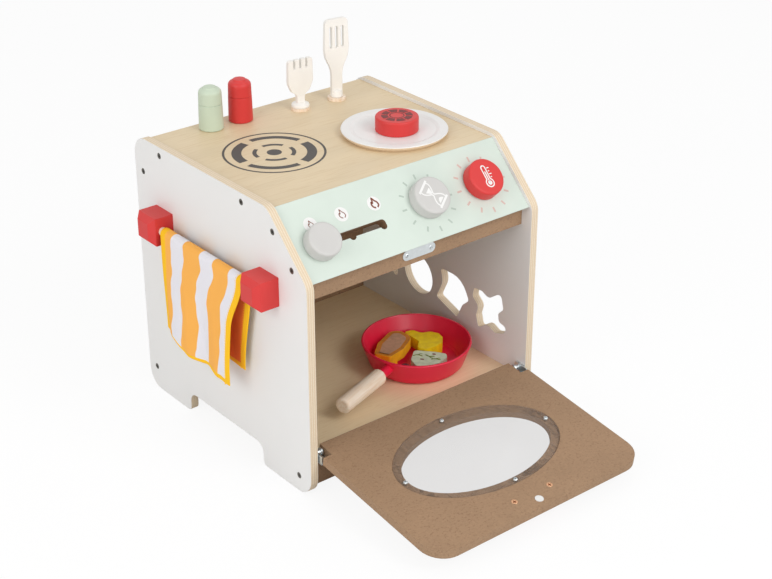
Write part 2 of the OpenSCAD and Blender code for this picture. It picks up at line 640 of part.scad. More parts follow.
// Table ware
module shaker(at) translate([at[0], at[1], top_z + rest_gap]) rotate_extrude()
    polygon([[0, 0], [shaker_d / 2 - 1, 0], [shaker_d / 2, 1], [shaker_d / 2 - 0.5, shaker_h * 0.59],
        [shaker_d / 2 - 1.3, shaker_h * 0.6], [shaker_d / 2 - 0.6, shaker_h * 0.61],
        [shaker_d / 2 - 0.9, shaker_h - 7],
        for (a = [15:15:75]) [shaker_d / 2 - 0.9 - 5 * (1 - cos(a)), shaker_h - 7 + 5 * sin(a)],
        [shaker_d / 2 - 5.9, shaker_h - 1.4], [shaker_d / 2 - 6.6, shaker_h - 0.4],
        [0, shaker_h]]);
module mint_shaker() color(mint) shaker(mint_at);
module red_shaker() color(red) shaker(red_at);
module plate() color(white) translate(plate_at) rotate_extrude() polygon([[0, 0],
    [plate_d / 2 - 4, 0], [plate_d / 2 - 0.6, plate_t * 0.55], [plate_d / 2, plate_t - 0.8],
    [plate_d / 2 - 0.6, plate_t], [plate_d / 2 - 9, plate_t], [plate_d / 2 - 13, plate_t - dish],
    [0, plate_t - dish]]);
module tomato_slice() color(red) translate(plate_at + [0, -4, plate_t - dish + rest_gap])
    rotate_extrude() polygon([[0, 0], [tomato_d / 2 - 0.8, 0], [tomato_d / 2, 0.8],
        [tomato_d / 2, tomato_h - 1.6], [tomato_d / 2 - 0.5, tomato_h - 0.5],
        [tomato_d / 2 - 1.6, tomato_h], [0, tomato_h]]);

// Frying pan
module along_grip() translate([pan_at[0], pan_at[1], grip_z]) rotate([0, 90, pan_turn]) children();
module pan_bowl() color(red) difference() {
    union() {
        translate(pan_at) rotate_extrude($fn = 96) polygon([[0, 0], [pan_base_r - 5, 0],
            for (a = [15:15:75]) [pan_base_r - 5 + 5 * sin(a), 5 - 5 * cos(a)],
            [pan_base_r + pan_taper * 5 / pan_h, 5], [pan_d / 2, pan_h - 1.4],
            [pan_d / 2 - 0.5, pan_h - 0.2], [pan_d / 2 - 1, pan_h], [0, pan_h]]);
        along_grip() translate([0, 0, pan_base_r])
            cylinder(r = stub_r, h = stub_end - pan_base_r);
    }
    translate(pan_at) rotate_extrude($fn = 96) polygon([[0, pan_wall],
        [pan_base_r - pan_wall - 3, pan_wall], [pan_base_r - pan_wall, pan_wall + 3],
        [pan_d / 2 - pan_wall, pan_h - 0.8], [pan_d / 2 - pan_wall + 0.6, pan_h],
        [pan_d / 2 - pan_wall + 0.6, pan_h + 1], [0, pan_h + 1]]);
    along_grip() translate([0, 0, pan_d / 2 + 1]) cylinder(r = stud_r + same_gap, h = 20);
}
module pan_handle() color("#ead9c0") along_grip() translate([0, 0, stub_end]) difference() {
    rotate_extrude() polygon([[0, 0], [grip_d / 2 - 3, 0],
        for (a = [20:20:80]) [grip_d / 2 - 3 + 3 * sin(a), 3 - 3 * cos(a)],
        [grip_d / 2, 3.4], [grip_d / 2, grip_len - 3],
        for (a = [0:20:80]) [grip_d / 2 - 3 + 3 * cos(a), grip_len - 3 + 3 * sin(a)],
        [grip_d / 2 - 3, grip_len], [0, grip_len]]);
    translate([0, 0, -1]) cylinder(r = stud_r + same_gap, h = stud_in + 3);
}
module pan_stud() color(steel) along_grip() translate([0, 0, pan_d / 2 + 1.2])
    cylinder(r = stud_r, h = stub_end - pan_d / 2 - 1.2 + stud_in);

// Food in the pan, each piece placed from the middle of the bowl and fitted to its base
module in_pan(x, y, turn, up = 0)
    translate([pan_at[0] + x * food_fit, pan_at[1] + y * food_fit, food_z + up])
    rotate(turn) children();
function fitted(points) = [for (p = points) [p[0] * food_fit, p[1] * food_fit, p[2]]];
module toast_slab() color("#e8861e") in_pan(-15.5, 22.9, 28.5, wedge_t + rest_gap)
    linear_extrude(food_t) polygon(rounded(fitted([[-29, -9.5, 3], [-6, -16.5, 14],
        [22, -15, 14], [31, 3, 10], [24, 13, 10], [-6, 15, 14], [-29, 9.5, 3]]), 5));
module wavy_slice() color("#f2c414") in_pan(0, 0, 0) linear_extrude(food_t + 2)
    polygon(rounded(fitted([[14.5, 13, 3], [15, 40, 3], [25.5, 37, 5], [29, 25.5, 7],
        [38.5, 22, 7], [43.5, 12.5, 4], [41, 3, 3], [33, -5.5, 4], [22.5, -8, 6], [8.5, -5, 4],
        [4, 3, 3]]), 5));
module leaf_slice() color("#cfd6a4") in_pan(0, 0, 0) linear_extrude(food_t)
    polygon(rounded(fitted([[-0.4, 3.3, 4], [7.6, -6.1, 9], [15.6, -15.4, 9], [21.8, -25, 4],
        [17.8, -31.5, 5], [4.6, -35, 12], [-9.6, -34.8, 8], [-21, -24.6, 6],
        [-17, -11, 6]]), 5));
module orange_wedge() color("#f08c18") in_pan(0, 0, 0) linear_extrude(wedge_t)
    polygon(rounded(fitted([[-8, 28, 3], [-38, 12, 3], [-29, -3, 3]]), 5));
module purple_round() color("#5a1f33") in_pan(-27.5, -13.5, 0)
    rotate_extrude() polygon([[0, 0], [5 * food_fit - 0.8, 0], [5 * food_fit, 0.8],
        [5 * food_fit, food_t - 3.2], [5 * food_fit - 1, food_t - 2], [0, food_t - 2]]);

left_side_panel();
right_side_panel();
top_panel();
control_panel();
back_panel();
oven_floor();
front_rail();
kick_board();
left_side_screws();
right_side_screws();
strike_plate();
strike_screws();
front_towel_block();
rear_towel_block();
towel_rod();
towel_block_screws();
fork_socket();
spatula_socket();
pivot_screws();
pivot_washers();
door_panel();
door_window();
window_screws();
left_hinge_bracket();
right_hinge_bracket();
bracket_screws();
door_magnet();
door_handle();
handle_screws();
timer_knob();
timer_spindle();
timer_nut();
temperature_knob();
temperature_spindle();
temperature_nut();
slider_knob();
slider_stem();
slider_retainer();
fork();
spatula();
mint_shaker();
red_shaker();
plate();
tomato_slice();
towel();
pan_bowl();
pan_handle();
pan_stud();
toast_slab();
wavy_slice();
leaf_slice();
orange_wedge();
purple_round();
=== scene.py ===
"""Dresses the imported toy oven: paints, boards, wood, prints, towel, screws, stage and camera."""

import json
import math

import bmesh
import bpy
from bpy.props import FloatProperty, FloatVectorProperty, IntProperty, PointerProperty
from mathutils import Matrix, Vector


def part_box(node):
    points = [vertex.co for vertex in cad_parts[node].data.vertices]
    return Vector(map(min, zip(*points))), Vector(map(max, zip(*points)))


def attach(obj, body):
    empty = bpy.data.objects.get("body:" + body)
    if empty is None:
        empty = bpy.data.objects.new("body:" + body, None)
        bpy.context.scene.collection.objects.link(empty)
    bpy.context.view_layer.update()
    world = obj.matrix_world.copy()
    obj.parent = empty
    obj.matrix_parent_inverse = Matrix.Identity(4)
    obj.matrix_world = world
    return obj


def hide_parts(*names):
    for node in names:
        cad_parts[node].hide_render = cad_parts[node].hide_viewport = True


bl_info = {
    "name": "Toy Oven Dressing",
    "version": (1, 0, 0),
    "blender": (4, 5, 0),
    "location": "View3D > Sidebar > Toy Oven",
    "description": "Finishes, prints, towel, screws and stage for the packed toy oven",
    "category": "Object",
}

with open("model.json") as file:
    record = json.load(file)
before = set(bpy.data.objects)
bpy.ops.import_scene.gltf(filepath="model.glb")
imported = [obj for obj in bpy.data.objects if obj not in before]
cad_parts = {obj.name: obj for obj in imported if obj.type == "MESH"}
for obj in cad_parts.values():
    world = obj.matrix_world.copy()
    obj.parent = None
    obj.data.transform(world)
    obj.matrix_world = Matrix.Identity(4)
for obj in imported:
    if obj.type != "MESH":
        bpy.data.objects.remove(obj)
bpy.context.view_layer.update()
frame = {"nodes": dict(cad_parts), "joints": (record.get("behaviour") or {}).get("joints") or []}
NODES = frame["nodes"]
MM = 0.001
LIFT = 0.04 * MM


def srgb(text):
    """Linear colour of a six-digit sRGB code."""
    parts = [int(text[i:i + 2], 16) / 255 for i in (0, 2, 4)]
    return tuple(c / 12.92 if c <= 0.04045 else ((c + 0.055) / 1.055) ** 2.4 for c in parts)


def colour(label, text, about):
    """A colour property from a six-digit sRGB code."""
    return FloatVectorProperty(
        name=label, description=about, default=srgb(text), subtype="COLOR", size=3, min=0, max=1)


def length(label, value, about):
    """A length property, in metres."""
    return FloatProperty(name=label, description=about, default=value, min=0.00001, max=0.3,
                         unit="LENGTH", precision=5)


class OvenColours(bpy.types.PropertyGroup):
    """Colours of the oven's finishes"""

    white: colour("White paint", "e9e8e6", "Side panels, plate and utensils")
    mint: colour("Mint paint", "d0dbd1", "Control panel and one shaker")
    utensil: colour("Utensil paint", "f3f0ea", "Fork and spatula")
    shaker: colour("Shaker paint", "c6d3bd", "Mint shaker")
    red: colour("Red paint", "d23230", "Towel blocks, door handle, knob, shaker and tomato")
    grey: colour("Grey paint", "c8c6c3", "Timer knob and slider knob")
    pan_red: colour("Pan red", "e81c42", "Frying pan")
    ply_light: colour("Light plies", "e8d9c2", "Edge of the plywood, light plies")
    ply_dark: colour("Dark plies", "dec8a9", "Edge of the plywood, cross plies")
    decor: colour("Wood decor", "dcc8a6", "Top and oven floor")
    decor_line: colour("Decor grain", "cdb289", "Grain lines of the wood decor")
    board: colour("Fibreboard", "9f8063", "Door, rail, kick board and back panel")
    board_fibre: colour("Fibres", "7c5c42", "Dark fibres of the board")
    beech: colour("Beech", "f6e5d2", "Pan handle, towel rod and socket rings")
    beech_line: colour("Beech grain", "ecd2b6", "Grain of the turned wood")
    steel: colour("Steel", "dfe5e7", "Brackets, washers and strike plate")
    screw: colour("Dark steel", "77756f", "Screws and nuts")
    copper: colour("Copper plate", "e0b08a", "Screws of the door handle")
    print_dark: colour("Dark print", "4a4643", "Burner rings on the top")
    print_warm: colour("Warm tick print", "cfb4aa", "Tick marks round the red knob")
    print_tick: colour("Tick print", "b2bfb4", "Tick marks round the knobs")
    flame: colour("Flame print", "7d4430", "Flame marks on the round labels")
    cloth_orange: colour("Towel stripes", "fcb552", "Wavy stripes of the towel")
    cloth_white: colour("Towel ground", "e9e8ee", "Ground of the towel")
    cloth_back: colour("Towel reverse", "ee7424", "Reverse of the towel")
    hem: colour("Hem", "ffc60a", "Hem tape of the towel")
    toast_slab: colour("Slab", "ffb41c", "Sides of the slab with the crust")
    toast_crust: colour("Crust", "cd8028", "Crust on the slab")
    toast_crumb: colour("Crumb", "c79a7c", "Crumb inside the crust")
    wavy_slice: colour("Wavy slice", "ffdc10", "Slice with the wavy edge")
    leaf_slice: colour("Pale slice", "dce6cb", "Slice with the herbs")
    veins: colour("Herbs", "7d8f26", "Herb strokes on the pale slice")
    seeds: colour("Seeds", "7a1420", "Seeds on the pale slice")
    orange_wedge: colour("Wedge", "ffa81a", "Wedge under the slab")
    purple_round: colour("Round piece", "5a0a28", "Small round piece")
    tomato_core: colour("Tomato print", "6f1d1c", "Chambers printed on the tomato")


class OvenSizes(bpy.types.PropertyGroup):
    """Sizes of what the dressing adds"""

    burner_d: length("Burner print", 0.107, "Outer diameter of the burner print")
    label_d: length("Labels", 0.0152, "Diameter of the round labels over the slot")
    tick_in: length("Tick start", 0.0268, "Distance from a knob's axis to a tick's near end")
    tick_len: length("Tick length", 0.0056, "Length of a tick")
    tick_w: length("Tick width", 0.0020, "Width of a tick")
    ticks: IntProperty(name="Ticks", description="Ticks round a knob", default=12, min=4, max=24)
    print_t: length("Print", 0.00008, "Thickness of a print or a label")
    icon_w: length("Icon line", 0.0011, "Width of the lines in the knobs' icons")
    hem_w: length("Hem", 0.0088, "Width of the hem at the towel's sides")
    hem_foot: length("Lower hem", 0.0036, "Width of the hem at the towel's ends")
    stitch_step: length("Stitch step", 0.0030, "Distance between two hem stitches")
    cloth_t: length("Cloth", 0.0011, "Thickness of the towel")
    stripe_step: length("Stripe step", 0.050, "Distance between two stripes of the towel")


class Value:
    """A socket of a material, on which Python's operators add Math nodes."""

    def __init__(self, finish, socket):
        self.finish = finish
        self.socket = socket

    def __add__(self, other):
        return self.finish.math("ADD", self, other)

    def __sub__(self, other):
        return self.finish.math("SUBTRACT", self, other)

    def __rsub__(self, other):
        return self.finish.math("SUBTRACT", other, self)

    def __mul__(self, other):
        return self.finish.math("MULTIPLY", self, other)

    def __gt__(self, other):
        return self.finish.math("GREATER_THAN", self, other)

    def __lt__(self, other):
        return self.finish.math("LESS_THAN", self, other)

    __radd__ = __add__
    __rmul__ = __mul__


class Finish:
    """A material with a Principled shader, and the nodes that feed it."""

    def __init__(self, name, **fixed):
        self.material = bpy.data.materials.new(name)
        self.material.use_nodes = True
        self.tree = self.material.node_tree
        self.shader = self.tree.nodes["Principled BSDF"]
        for socket, value in fixed.items():
            self.shader.inputs[socket.replace("_", " ")].default_value = value

    def link(self, socket, value):
        """Puts a value, or a link from a Value, on a socket."""
        if isinstance(value, Value):
            self.tree.links.new(value.socket, socket)
        elif hasattr(value, "__len__") and socket.type == "RGBA" and len(value) == 3:
            socket.default_value = (*value, 1)
        else:
            socket.default_value = value

    def node(self, kind, settings=None, sockets=None, out=0):
        """Adds a node: its settings first, then the values or links of its sockets."""
        made = self.tree.nodes.new(kind)
        for name, value in (settings or {}).items():
            setattr(made, name, value)
        for name, value in (sockets or {}).items():
            self.link(made.inputs[name], value)
        return Value(self, made.outputs[out])

    def math(self, operation, *values):
        """A Math node on values and numbers."""
        return self.node("ShaderNodeMath", {"operation": operation}, dict(enumerate(values)))

    def mix(self, factor, first, second):
        """A colour between first and second."""
        return self.node("ShaderNodeMix", {"data_type": "RGBA"},
                         {0: factor, 6: first, 7: second}, out=2)

    def step(self, value, low, high):
        """A soft step from 0 to 1 as value runs from low to high."""
        return self.node("ShaderNodeMapRange", {"interpolation_type": "SMOOTHSTEP"},
                         {0: value, 1: low, 2: high})

    def clouded(self, cloud, base, dark, light):
        """A base colour that drifts between a dark and a light share of itself."""
        return self.mix(self.step(cloud, 0.3, 0.7), shade(base, dark), shade(base, light))

    def place(self, stretch=(1, 1, 1), at=(0, 0, 0), turn=(0, 0, 0)):
        """Object coordinates in millimetres, moved, turned and stretched."""
        spot = self.node("ShaderNodeTexCoord", out="Object")
        moved = self.node("ShaderNodeMapping", {"vector_type": "TEXTURE"},
                          {"Vector": spot, "Location": at, "Rotation": turn})
        return self.node("ShaderNodeMapping", {"vector_type": "POINT"},
                         {"Vector": moved, "Scale": tuple(s / MM for s in stretch)})

    def axes(self, vector):
        """The three parts of a vector."""
        parts = self.tree.nodes.new("ShaderNodeSeparateXYZ")
        self.link(parts.inputs[0], vector)
        return [Value(self, s) for s in parts.outputs]

    def normal(self):
        """The parts of the piece's own normal."""
        return self.axes(self.node("ShaderNodeTexCoord", out="Normal"))

    def noise(self, vector, size, detail=3.0, rough=0.5, twist=0.0):
        """Noise with features of about size millimetres, in the units of vector."""
        sockets = {"Vector": vector, "Scale": 1 / size, "Detail": detail, "Roughness": rough,
                   "Distortion": twist}
        return self.node("ShaderNodeTexNoise", None, sockets)

    def bump(self, height, distance, normal=None):
        """A Bump node whose height of 1 stands for distance millimetres."""
        sockets = {"Height": height, "Distance": distance * MM, "Strength": 1.0}
        if normal:
            sockets["Normal"] = normal
        return self.node("ShaderNodeBump", None, sockets)

    def rounding(self, radius):
        """A normal that softens sharp edges over radius millimetres."""
        return self.node("ShaderNodeBevel", {"samples": 4}, {"Radius": radius * MM})

    def set(self, **sockets):
        """Feeds the shader's sockets and gives the material."""
        for name, value in sockets.items():
            self.link(self.shader.inputs[name.replace("_", " ")], value)
        return self.material


MADE = {}


def finish_once(build):
    """Keeps the material that a function makes, so that it is made once."""
    def kept(*args):
        key = (build.__name__, *args)
        if key not in MADE:
            MADE[key] = build(*args)
        return MADE[key]
    return kept


def tint(name):
    """One of the oven's own colours."""
    return tuple(getattr(bpy.context.scene.oven_colours, name))


def shade(rgb, amount):
    """A darker or lighter share of a colour."""
    return tuple(min(1.0, c * amount) for c in rgb)


def paint_tone(f, name):
    """Colour and height of rolled paint, and the slow cloud that runs through it."""
    cloud = f.noise(f.place(), 38, 2)
    roller = f.noise(f.place(), 0.9, 2, 0.6)
    return f.clouded(cloud, tint(name), 0.975, 1.02), roller, cloud


@finish_once
def paint(name, rough):
    """Satin paint on wood: a faint roller texture and soft edges."""
    f = Finish(f"paint_{name}")
    tone, roller, cloud = paint_tone(f, name)
    return f.set(Base_Color=tone, Roughness=rough + (cloud - 0.5) * 0.12,
                 Normal=f.bump(roller, 0.018, f.rounding(0.7)))


def ply_colour(f, depth):
    """Colour of a plywood edge; depth runs from 0 to 1 through the board."""
    plies = 7
    wobble = (f.noise(f.place(), 9, 2) - 0.5) * 0.05
    layer = (depth + wobble) * plies
    part = f.math("FRACT", layer)
    odd = f.math("MODULO", f.math("FLOOR", layer), 2.0)
    glue = f.math("ABSOLUTE", part - 0.5) > 0.46
    pores = f.noise(f.place((0.35, 1, 1)), 0.45, 3, 0.65)
    tone = f.mix(odd, tint("ply_light"), tint("ply_dark"))
    tone = f.mix(f.step(pores, 0.42, 0.72) * 0.45, tone, shade(tint("ply_dark"), 0.82))
    return f.mix(glue * 0.3, tone, shade(tint("ply_dark"), 0.7)), pores


@finish_once
def painted_ply(side):
    """White paint on both faces of a side panel and bare plywood on its edges."""
    f = Finish(f"painted_ply_{side}")
    low, high = (corner.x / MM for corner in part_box(f"{side}_side_panel"))
    depth = (f.axes(f.place())[0] - low) * (1 / (high - low))
    face = f.step(f.math("ABSOLUTE", f.normal()[0]), 0.45, 0.6)
    edge, pores = ply_colour(f, depth)
    cloud = f.noise(f.place(), 60, 2)
    roller = f.noise(f.place(), 0.9, 2, 0.6)
    base = tint("white")
    white = f.mix(cloud, shade(base, 0.98), shade(base, 1.01))
    height = roller * 0.5 + (1 - face) * pores * 3
    return f.set(Base_Color=f.mix(face, edge, white), Roughness=0.62 - face * 0.2,
                 Normal=f.bump(height, 0.02, f.rounding(0.5)))


@finish_once
def decor(name, level):
    """Light wood decor with long, fine grain from side to side; level scales its colours, and a
    level above 1 is painted light.
    """
    f = Finish(f"wood_decor_{name}")
    base, line = shade(tint("decor"), level), shade(tint("decor_line"), level)
    flow = f.noise(f.place((0.05, 1, 1)), 9, 3, 0.5, 0.3)
    fine = f.noise(f.place((0.018, 1, 1)), 0.7, 3, 0.7)
    cloud = f.noise(f.place((0.35, 1, 1)), 45, 2)
    lines = f.step(f.math("ABSOLUTE", f.math("FRACT", flow * 9) - 0.5), 0.3, 0.5)
    tone = f.clouded(cloud, base, 0.97, 1.04)
    tone = f.mix(lines * 0.34, tone, line)
    tone = f.mix(f.step(fine, 0.5, 0.85) * 0.4, tone, line)
    return f.set(Base_Color=tone, Roughness=0.44 + lines * 0.06,
                 Normal=f.bump(fine * 0.6 + lines * 0.4, 0.012, f.rounding(0.4)))


def board_tone(f):
    """Colour and height of bare fibreboard: short dark and light fibres on a clouded skin."""
    fibre = f.noise(f.place((0.7, 1.1, 1)), 2.3, 5, 0.85)
    pale = f.noise(f.place((1.1, 0.7, 1), at=(0.04, 0.09, 0.01)), 2.6, 5, 0.85)
    flock = f.noise(f.place(), 3.6, 3, 0.65)
    cloud = f.noise(f.place(), 48, 2)
    base = tint("board")
    tone = f.clouded(cloud, base, 0.96, 1.05)
    tone = f.mix(f.step(flock, 0.42, 0.7) * 0.3, tone, shade(base, 1.16))
    tone = f.mix(f.step(pale, 0.54, 0.66) * 0.45, tone, shade(base, 1.4))
    tone = f.mix(f.step(fibre, 0.51, 0.63) * 0.6, tone, tint("board_fibre"))
    return tone, fibre


@finish_once
def fibreboard():
    """Bare brown fibreboard: short fibres, a clouded skin and soft cut edges."""
    f = Finish("fibreboard")
    tone, fibre = board_tone(f)
    return f.set(Base_Color=tone, Roughness=0.8 - f.step(fibre, 0.3, 0.7) * 0.1,
                 Normal=f.bump(fibre, 0.06, f.rounding(0.5)))


@finish_once
def painted_board():
    """Mint paint on the faces of the control panel, and bare fibreboard in its slot."""
    f = Finish("painted_board")
    _, ny, nz = f.normal()
    out = f.math("ABSOLUTE", (nz - ny) * math.sqrt(0.5))
    face = f.step(out, 0.72, 0.86)
    tone, fibre = board_tone(f)
    mint, roller, _ = paint_tone(f, "mint")
    cut = f.mix(0.55, tone, tint("board_fibre"))
    return f.set(Base_Color=f.mix(face, cut, mint), Roughness=0.78 - face * 0.32,
                 Normal=f.bump(roller * 0.4 + (1 - face) * fibre, 0.03, f.rounding(0.4)))


@finish_once
def beech(axis):
    """Turned light wood with its grain along an axis, or along the pan's grip."""
    f = Finish(f"beech_{axis}")
    turn = {"x": (0, 0, 0), "y": (0, 0, math.pi / 2), "z": (0, math.pi / 2, 0),
            "grip": (0, 0, math.radians(22))}[axis]
    spot = f.place((0.06, 1, 1), turn=turn)
    rings = f.noise(spot, 2.4, 3, 0.55, 0.4)
    flecks = f.noise(f.place((0.12, 1, 1), turn=turn), 0.5, 2, 0.7)
    tone = f.mix(f.step(rings, 0.35, 0.7), tint("beech"), tint("beech_line"))
    tone = f.mix(f.step(flecks, 0.58, 0.8) * 0.5, tone, shade(tint("beech_line"), 0.8))
    return f.set(Base_Color=tone, Roughness=0.46,
                 Normal=f.bump(rings * 0.5 + flecks * 0.5, 0.02, f.rounding(0.4)))


@finish_once
def steel(name, rough):
    """Plated steel with faint scratches."""
    f = Finish(f"{name}_plated", Metallic=1.0)
    scratch = f.noise(f.place((0.15, 1, 1), turn=(0, 0, 0.6)), 0.25, 3, 0.7)
    cloud = f.noise(f.place(), 4, 2)
    tone = f.mix(cloud, shade(tint(name), 0.86), shade(tint(name), 1.1))
    return f.set(Base_Color=tone, Roughness=rough + scratch * 0.14,
                 Normal=f.bump(scratch, 0.006, f.rounding(0.2)))


@finish_once
def clear_sheet():
    """Clear plastic: nearly invisible face on, with gloss at a shallow view."""
    f = Finish("clear_sheet", IOR=1.49)
    haze = f.noise(f.place(), 30, 2)
    facing = f.node("ShaderNodeLayerWeight", None, {"Blend": 0.3}, out="Facing")
    return f.set(Base_Color=(0.30, 0.28, 0.27), Alpha=0.13 + facing * 0.05 + haze * 0.01,
                 Roughness=0.05 + haze * 0.03)


@finish_once
def printed(name):
    """Ink or a paper label, a little uneven."""
    f = Finish(f"printed_{name}")
    grain = f.noise(f.place(), 0.35, 2, 0.7)
    base = tint(name)
    tone = f.mix(f.step(grain, 0.5, 0.8) * 0.3, base, shade(base, 1.25))
    return f.set(Base_Color=tone, Roughness=0.55 + grain * 0.1)


@finish_once
def food(name, rough=0.5):
    """Painted play food with a brushed, slightly cloudy colour."""
    f = Finish(f"food_{name}")
    cloud = f.noise(f.place(), 7, 3, 0.6)
    grain = f.noise(f.place((0.3, 1, 1)), 0.6, 2, 0.6)
    return f.set(Base_Color=f.clouded(cloud, tint(name), 0.86, 1.08),
                 Roughness=rough + cloud * 0.08,
                 Normal=f.bump(grain, 0.03, f.rounding(0.6)))


@finish_once
def plate_paint():
    """White paint on the plate's upper side, bare wood under its rim."""
    f = Finish("plate_paint")
    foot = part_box("plate")[0].z / MM
    height = f.axes(f.place())[2]
    white = f.step(f.normal()[2], -0.1, 0.25) * f.step(height, foot + 2.2, foot + 3.0)
    grain = f.noise(f.place((0.1, 1, 1)), 1.2, 3, 0.6)
    wood = f.mix(grain, tint("beech"), tint("decor_line"))
    return f.set(Base_Color=f.mix(white, wood, tint("white")), Roughness=0.5 - white * 0.14,
                 Normal=f.bump(grain * (1 - white), 0.02, f.rounding(0.5)))


@finish_once
def cloth(side, flat):
    """Woven towel: wavy stripes on the face, a plain reverse, hem tape round the edge.

    The UV map holds the place on the flat cloth in metres.
    """
    sizes = bpy.context.scene.oven_sizes
    width, high = flat
    f = Finish(f"towel_{side}")
    uv = f.node("ShaderNodeUVMap", {"uv_map": "flat"})
    u, v, _ = f.axes(uv)
    wave = f.node("ShaderNodeCombineXYZ", None, {0: u * 6, 1: v * 26, 2: 0.0})
    sway = (f.noise(wave, 1.0, 1.5, 0.4) - 0.5) * 0.028
    repeats = f.math("FRACT", (u + sway) * (1 / sizes.stripe_step) + 0.25)
    stripe = f.step(f.math("ABSOLUTE", repeats - 0.5), 0.215, 0.23)
    threads = 2 * math.pi / (0.9 * MM)
    weave = f.math("SINE", u * threads) * f.math("SINE", v * threads)
    fuzz = f.noise(f.node("ShaderNodeVectorMath", {"operation": "SCALE"},
                          {0: uv, "Scale": 1 / MM}), 0.7, 3, 0.7)
    if side == "face":
        tone = f.mix(stripe, tint("cloth_white"), tint("cloth_orange"))
    else:
        tone = f.mix(stripe * 0.5, tint("cloth_back"), shade(tint("cloth_back"), 1.25))
    edge_u = f.math("MINIMUM", u, width - u)
    edge_v = f.math("MINIMUM", v, high - v)
    foot = (1.7 - u * (1.1 / width)) * sizes.hem_foot
    hem = f.math("MAXIMUM", edge_u < sizes.hem_w, edge_v < foot)
    tone = f.mix(hem, tone, tint("hem"))
    tone = f.mix(f.step(weave, 0.1, 0.9) * 0.07, tone, shade(tint("cloth_back"), 0.9))
    tone = f.mix(f.step(fuzz, 0.55, 0.8) * 0.10, tone, (1.0, 1.0, 1.0))
    return f.set(Base_Color=tone, Roughness=0.86 + fuzz * 0.1,
                 Normal=f.bump(weave * 0.5 + fuzz * 0.8, 0.12))


def finish_node(node, material):
    """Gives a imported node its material."""
    mesh = NODES[node].data
    mesh.materials.clear()
    mesh.materials.append(material)


def new_piece(name, shape, body, slot, *materials, smooth=False):
    """Links a mesh, or a bmesh that is first made one, as a piece that rides on a body."""
    mesh = mesh_from(shape, name) if isinstance(shape, bmesh.types.BMesh) else shape
    for material in materials:
        mesh.materials.append(material)
    if smooth:
        mesh.shade_smooth()
    piece = bpy.data.objects.new(name, mesh)
    bpy.context.scene.collection.objects.link(piece)
    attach(piece, body)
    return piece


def mesh_from(bm, name):
    """Turns a bmesh into a mesh with its doubles merged and its faces outwards."""
    bmesh.ops.remove_doubles(bm, verts=bm.verts, dist=1e-6)
    bmesh.ops.recalc_face_normals(bm, faces=bm.faces)
    mesh = bpy.data.meshes.new(name)
    bm.to_mesh(mesh)
    bm.free()
    return mesh


def prism(bm, outline, thick, place):
    """A closed flat piece over an outline of (x, y) points, from z = 0 to thick, put by place."""
    low = [bm.verts.new(place @ Vector((x, y, 0))) for x, y in outline]
    high = [bm.verts.new(place @ Vector((x, y, thick))) for x, y in outline]
    bm.faces.new(low[::-1])
    bm.faces.new(high)
    for i in range(len(outline)):
        j = (i + 1) % len(outline)
        bm.faces.new((low[i], low[j], high[j], high[i]))


def walls(bm, columns, closed):
    """Faces between four-cornered columns, which run round or have a cap at each end."""
    for a, b in zip(columns, columns[1:] + (columns[:1] if closed else [])):
        for k in range(4):
            bm.faces.new((a[k], a[(k + 1) % 4], b[(k + 1) % 4], b[k]))
    if not closed:
        bm.faces.new(columns[0])
        bm.faces.new(columns[-1][::-1])


def band(bm, inner, outer, start, sweep, thick, place, steps=32):
    """A closed flat ring or arc between two radii; angles in degrees."""
    whole = sweep >= 360
    columns = []
    for i in range(steps if whole else steps + 1):
        a = math.radians(start + sweep * i / steps)
        c, s = math.cos(a), math.sin(a)
        columns.append([bm.verts.new(place @ Vector((r * c, r * s, z)))
                        for r, z in ((inner, 0), (outer, 0), (outer, thick), (inner, thick))])
    walls(bm, columns, whole)


def stroke(bm, points, wide, thick, place, closed=False):
    """A closed flat line of one width along points, with mitred corners."""
    pts = [Vector(p) for p in points]
    count = len(pts)
    columns = []
    for i, p in enumerate(pts):
        before = pts[i - 1] if i or closed else None
        after = pts[(i + 1) % count] if i < count - 1 or closed else None
        ways = [(p - before).normalized()] if before is not None else []
        ways += [(after - p).normalized()] if after is not None else []
        sides = [Vector((-w.y, w.x)) for w in ways]
        side = sum(sides, Vector((0, 0))).normalized()
        reach = side * (wide / 2 / max(0.4, side.dot(sides[0])))
        columns.append([bm.verts.new(place @ Vector((q.x, q.y, z))) for q, z in
                        ((p - reach, 0), (p + reach, 0), (p + reach, thick), (p - reach, thick))])
    walls(bm, columns, closed)


def arc(x, y, across, up, steps, start=0.0, sweep=2 * math.pi):
    """Points round (x, y) on a circle or oval, without the last one."""
    return [(x + across * math.cos(a), y + up * math.sin(a))
            for a in (start + sweep * k / steps for k in range(steps))]


def in_mm(*points):
    """Points given in millimetres, in metres."""
    return [(x * MM, y * MM) for x, y in points]


def curve_through(points, steps=5):
    """A smooth line of 2-D points through the given ones."""
    pts = [Vector(p) for p in points]
    ends = [pts[0] * 2 - pts[1], *pts, pts[-1] * 2 - pts[-2]]
    line = []
    for a, b, c, d in zip(ends, ends[1:], ends[2:], ends[3:]):
        for k in range(steps):
            t = k / steps
            line.append((b * 2 + (c - a) * t + (a * 2 - b * 5 + c * 4 - d) * t ** 2
                         + (b * 3 - a - c * 3 + d) * t ** 3) / 2)
    return [tuple(p) for p in line + [pts[-1]]]


def facing(normal, at=(0, 0, 0), up=(0, 0, 1)):
    """A matrix whose Z is normal and whose Y leans towards up."""
    z = Vector(normal).normalized()
    x = Vector(up).cross(z)
    if x.length < 1e-6:
        x = Vector((1, 0, 0))
    x.normalize()
    y = z.cross(x)
    turn = Matrix((x, y, z)).transposed().to_4x4()
    return Matrix.Translation(Vector(at)) @ turn


def slope():
    """The sloping face: X across, Y up the slope from its lower edge, Z outwards."""
    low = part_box("control_panel")[0]
    return facing((0, -1, 1), (0, low.y, low.z))


